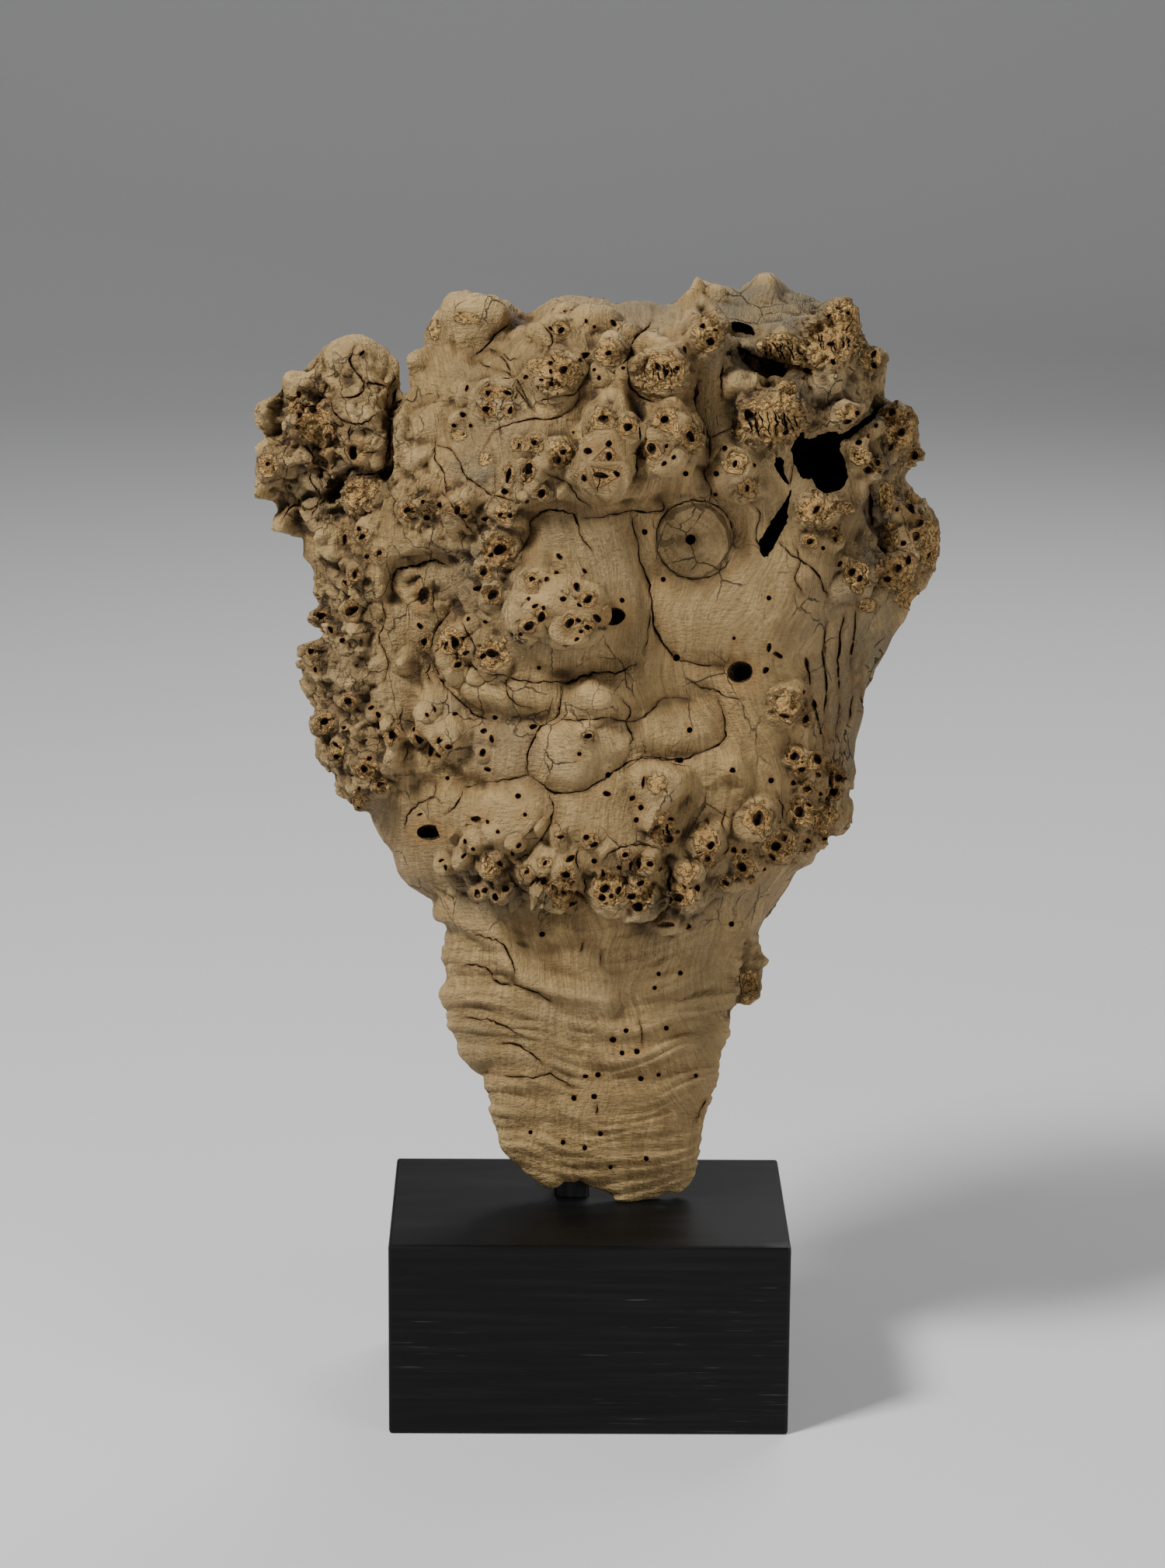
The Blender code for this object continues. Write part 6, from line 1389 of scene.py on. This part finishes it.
def makeWood():
    material, tree, shader = newMaterial("driftwoodSurface")
    grain = attribute(tree, "grain", "Vector")
    here = position(tree)
    fine = noiseOf(tree, scaled(tree, grain, woodLook["fineGrain"]), 1.0, 3.0)
    medium = noiseOf(tree, scaled(tree, grain, woodLook["mediumGrain"]), 1.0, 5.0, 0.65)
    blotch = noiseOf(tree, here, 34.0, 4.0, 0.6)
    cloud = noiseOf(tree, here, 95.0, 5.0, 0.65)
    creases = noiseOf(tree, scaled(tree, grain, woodLook["creases"]), 1.0, 4.0, 0.6)
    speck = noiseOf(tree, here, 620.0, 3.0, 0.7)
    crumbs = noiseOf(tree, here, 900.0, 4.0, 0.75)
    twist = noiseOf(tree, here, 210.0, 2.0)
    knot, stain, endRing = attribute(tree, "knotEnd"), attribute(tree, "stain"), attribute(tree, "endRing")
    dirtAndShade, hollow = attribute(tree, "dirtAndShade"), attribute(tree, "hollow")
    greyed, paled, behind = attribute(tree, "greyed"), attribute(tree, "paled"), attribute(tree, "behind")
    wave, valley, rugged = attribute(tree, "neckWave"), attribute(tree, "valley"), attribute(tree, "rugged")

    tone = plus(tree, times(tree, medium, 0.65), times(tree, blotch, 0.35))
    colour = mixed(tree, ranged(tree, tone, 0.36, 0.62), woodLook["tanDark"], woodLook["tanLight"])
    drift = noiseOf(tree, here, 15.0, 4.0, 0.6)
    colour = mixed(tree, ranged(tree, drift, 0.48, 0.64, 0.0, 0.55), colour, woodLook["olive"])
    colour = mixed(tree, times(tree, paled, ranged(tree, medium, 0.3, 0.7, 0.35, 0.8)), colour,
                   woodLook["pale"])
    colour = mixed(tree, ranged(tree, cloud, 0.42, 0.62, 0.0, 0.55), colour, woodLook["tanDark"])
    # painted shade in the troughs of the ripples across the neck
    colour = mixed(tree, ranged(tree, wave, -1.2, 1.0, 0.22, 0.0), colour, woodLook["tanDark"])
    colour = mixed(tree, ranged(tree, fine, 0.34, 0.52, 0.65, 0.0), colour, woodLook["tanDark"])
    colour = mixed(tree, ranged(tree, speck, 0.30, 0.46, 0.6, 0.0), colour, woodLook["brown"])
    # painted light on broad and small rises, and painted shade multiplied into broad hollows
    colour = mixed(tree, ranged(tree, valley, -1.8, -0.3, 0.45, 0.0), colour, woodLook["pale"])
    colour = mixed(tree, ranged(tree, hollow, -1.6, -0.4, 0.35, 0.0), colour, woodLook["ridge"])
    colour = mixed(tree, ranged(tree, valley, 0.2, 2.0, 0.0, 0.7), colour, woodLook["valley"], "MULTIPLY")
    # painted shade: the wood round each knot end darkened towards brown
    around = times(tree, ranged(tree, endRing, 1.0, 2.0, 0.6, 0.0), ranged(tree, cloud, 0.40, 0.6, 0.15, 1.0))
    colour = mixed(tree, around, colour, woodLook["brown"])
    grime = times(tree, rugged, ranged(tree, cloud, 0.44, 0.60))
    colour = mixed(tree, times(tree, grime, 0.6), colour, woodLook["brown"])
    greyShare = times(tree, greyed, ranged(tree, cloud, 0.38, 0.58, 0.45, 1.0))
    colour = mixed(tree, greyShare, colour, woodLook["grey"])
    inEnd = ranged(tree, endRing, 0.90, 1.02, 1.0, 0.0)
    turns = plus(tree, times(tree, endRing, 24.0), times(tree, twist, 9.0))
    ridges = ranged(tree, maths(tree, "SINE", turns), -1.0, 1.0)
    knotTone = plus(tree, times(tree, ridges, 0.25), times(tree, crumbs, 0.75))
    knotColour = mixed(tree, ranged(tree, knotTone, 0.30, 0.62), woodLook["knotDark"], woodLook["knotLight"])
    curl = noiseOf(tree, here, 240.0, 3.0, 0.6)
    slits = ranged(tree, maths(tree, "ABSOLUTE", maths(tree, "SUBTRACT", curl, 0.5)), 0.008, 0.034, 1.0, 0.0)
    slits = times(tree, slits, ranged(tree, endRing, 0.85, 1.15, 1.0, 0.0))
    knotColour = mixed(tree, ranged(tree, blotch, 0.42, 0.60), knotColour, woodLook["knotBrown"])
    colour = mixed(tree, times(tree, inEnd, 0.82), colour, knotColour)
    colour = mixed(tree, times(tree, slits, 0.75), colour, woodLook["dirtAndShade"])
    fringe = times(tree, ranged(tree, endRing, 0.92, 1.02), ranged(tree, endRing, 1.04, 1.22, 1.0, 0.0))
    fringe = times(tree, fringe, ranged(tree, twist, 0.40, 0.58, 0.15, 0.75))
    colour = mixed(tree, fringe, colour, woodLook["knotDark"])
    stainShare = times(tree, stain, ranged(tree, speck, 0.35, 0.65, 0.25, 0.8))
    colour = mixed(tree, stainShare, colour, woodLook["orange"])
    # painted shade in small hollows, near-black in the deepest
    colour = mixed(tree, ranged(tree, hollow, 0.3, 1.5), colour, woodLook["valley"], "MULTIPLY")
    colour = mixed(tree, ranged(tree, hollow, 1.0, 2.0, 0.0, 0.7), colour, woodLook["dirtAndShade"])
    where = maths(tree, "MAXIMUM", ranged(tree, blotch, 0.50, 0.60), times(tree, rugged, 0.8))
    hairline = times(tree, crackle(tree, here), where)
    hairline = times(tree, hairline, attribute(tree, "checked"))
    colour = mixed(tree, hairline, colour, woodLook["dirtAndShade"])
    # painted shade along the splits and clefts, and the dark seams
    colour = mixed(tree, times(tree, dirtAndShade, ranged(tree, speck, 0.3, 0.6, 0.5, 1.0)), colour,
                   woodLook["dirtAndShade"])
    backColour = mixed(tree, ranged(tree, tone, 0.36, 0.64), woodLook["backDark"], woodLook["backLight"])
    colour = mixed(tree, behind, colour, backColour)
    tree.links.new(colour, shader.inputs["Base Color"])

    shader.inputs["Specular IOR Level"].default_value = woodLook["specular"]
    roughness = plus(tree, ranged(tree, medium, 0.3, 0.7, 0.72, 0.58), times(tree, knot, 0.25))
    roughness = plus(tree, roughness, times(tree, greyed, 0.25))
    tree.links.new(ranged(tree, roughness, 0.0, 0.95, 0.0, 0.95), shader.inputs["Roughness"])

    lift = plus(tree, times(tree, fine, 0.45), times(tree, medium, 0.9))
    lift = plus(tree, lift, times(tree, speck, 0.7))
    lift = plus(tree, lift, times(tree, creases, 1.5))
    lift = maths(tree, "SUBTRACT", lift, slits)
    pores = addNode(tree, "ShaderNodeTexVoronoi", {"Vector": here, "Scale": 620.0}).outputs["Distance"]
    lift = plus(tree, lift, times(tree, times(tree, crumbs, knot), 1.6))
    lift = plus(tree, lift, times(tree, times(tree, pores, knot), 1.2))
    lift = plus(tree, lift, times(tree, times(tree, ridges, inEnd), 0.35))
    lift = maths(tree, "SUBTRACT", lift, plus(tree, hairline, fringe))
    lift = plus(tree, lift, times(tree, times(tree, speck, greyed), 0.8))
    bumped(tree, shader, lift, 1.0, woodLook["bumpDepth"])
    return material


# the insides of the holes, splits and deep hollows, painted near-black as shade, mottled with dark brown
def makeBore():
    material, tree, shader = newMaterial("boreShade")
    here = position(tree)
    mottle = noiseOf(tree, here, 700.0, 3.0)
    colour = mixed(tree, ranged(tree, mottle, 0.45, 0.75), woodLook["bore"], woodLook["knotDark"])
    tree.links.new(colour, shader.inputs["Base Color"])
    shader.inputs["Roughness"].default_value = 0.9
    shader.inputs["Specular IOR Level"].default_value = 0.2
    return material


blockLook = {
    "base": (0.0022, 0.0022, 0.0023, 1),
    "worn": (0.006, 0.006, 0.006, 1),
    "scratch": (0.06, 0.06, 0.06, 1),
    "specular": 0.16,
    "bumpDepth": 0.25 * mm,
}


def makeBlockWood():
    material, tree, shader = newMaterial("blackStainedWood")
    here = position(tree)
    fibre = noiseOf(tree, scaled(tree, here, (14, 60, 420)), 1.0, 4.0)
    patch = noiseOf(tree, here, 24.0, 3.0)
    scratch = noiseOf(tree, scaled(tree, here, (34, 34, 1500)), 1.0, 2.0)
    colour = mixed(tree, ranged(tree, fibre, 0.45, 0.72), blockLook["base"], blockLook["worn"])
    marks = times(tree, ranged(tree, scratch, 0.66, 0.72), ranged(tree, patch, 0.5, 0.65))
    colour = mixed(tree, times(tree, marks, 0.7), colour, blockLook["scratch"])
    tree.links.new(colour, shader.inputs["Base Color"])
    tree.links.new(ranged(tree, fibre, 0.3, 0.7, 0.38, 0.52), shader.inputs["Roughness"])
    shader.inputs["Specular IOR Level"].default_value = blockLook["specular"]
    bumped(tree, shader, fibre, 0.25, blockLook["bumpDepth"])
    return material


steelLook = {"colour": (0.022, 0.022, 0.023, 1), "roughness": 0.42, "metallic": 0.3, "streaks": (300, 300, 60)}
zincLook = {"colour": (0.55, 0.55, 0.53, 1), "roughness": 0.32, "metallic": 1.0, "streaks": (900, 900, 200)}


def makeMetal(name, look):
    material, tree, shader = newMaterial(name)
    here = position(tree)
    mottle = noiseOf(tree, scaled(tree, here, look["streaks"]), 1.0, 3.0)
    darker = tuple(0.6 * part for part in look["colour"][:3]) + (1,)
    tree.links.new(mixed(tree, ranged(tree, mottle, 0.35, 0.65), darker, look["colour"]), shader.inputs["Base Color"])
    roughness = ranged(tree, mottle, 0.3, 0.7, look["roughness"] - 0.08, look["roughness"] + 0.12)
    tree.links.new(roughness, shader.inputs["Roughness"])
    shader.inputs["Metallic"].default_value = look["metallic"]
    bumped(tree, shader, mottle, 0.2, 0.1 * mm)
    return material


def coat(nodes, material):        # gives CAD pieces their material
    for name in nodes:
        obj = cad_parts[name]
        for slot in obj.material_slots:
            slot.material = material


woodMaterial = makeWood()
burl = makeDriftwood(woodMaterial, makeBore())
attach(burl, "root")
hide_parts("driftwood")
print("stage 2: driftwood")

coat(["block"], makeBlockWood())
coat(["post", "upper_arm", "lower_arm"], makeMetal("blackSteel", steelLook))
coat(["upper_arm_screw_1", "upper_arm_screw_2", "lower_arm_screw_1", "lower_arm_screw_2", "fixing_screw",
      "fixing_washer"], makeMetal("zincPlate", zincLook))
print("stage 3: block, post and fastenings")

studio = {
    "floorReach": 6,              # metres from its middle to its edges
    "curveStart": 2.5,            # metres behind the object
    "curveRadius": 1.5,
    "floorColour": (0.55, 0.55, 0.56, 1),
    "skyColour": (1.0, 1.0, 1.0, 1),
    "skyStrength": 0.12,
    # place, what it points at, width, watts
    "lamps": {
        "keyLamp": ((-1.15, -0.90, 1.75), (0, 0, 0.28), 0.42, 77),
        "fillLamp": ((1.5, -1.3, 0.55), (0, 0, 0.25), 1.3, 25),
        "backLamp": ((0.6, 1.3, 1.5), (0, 0, 0.3), 1.0, 18),
    },
}


def makeStudio():
    floor = bmesh.new()
    bmesh.ops.create_grid(floor, x_segments=2, y_segments=40, size=studio["floorReach"])
    start, radius = studio["curveStart"], studio["curveRadius"]
    for vertex in floor.verts:
        past = vertex.co.y - start
        if past > 0:              # the sheet curves up behind
            turn = min(past / radius, math.pi / 2)
            vertex.co.z = radius * (1 - math.cos(turn)) + max(past - radius * math.pi / 2, 0)
            vertex.co.y = start + radius * math.sin(turn)
    mesh = bpy.data.meshes.new("studioFloor")
    floor.to_mesh(mesh)
    floor.free()
    mesh.shade_smooth()
    material, _, shader = newMaterial("studioPaper")
    shader.inputs["Base Color"].default_value = studio["floorColour"]
    shader.inputs["Roughness"].default_value = 0.9
    mesh.materials.append(material)
    linkNew("studioFloor", mesh)
    for name, (spot, target, width, watts) in studio["lamps"].items():
        lamp = bpy.data.lights.new(name, "AREA")
        lamp.shape = "SQUARE"
        lamp.size = width
        lamp.energy = watts
        obj = linkNew(name, lamp)
        obj.location = spot
        obj.rotation_euler = (Vector(target) - Vector(spot)).to_track_quat("-Z", "Y").to_euler()
    world = bpy.data.worlds.new("studioSky")
    world.use_nodes = True
    sky = world.node_tree.nodes["Background"]
    sky.inputs["Color"].default_value = studio["skyColour"]
    sky.inputs["Strength"].default_value = studio["skyStrength"]
    bpy.context.scene.world = world


makeStudio()
print("stage 4: floor and lamps")
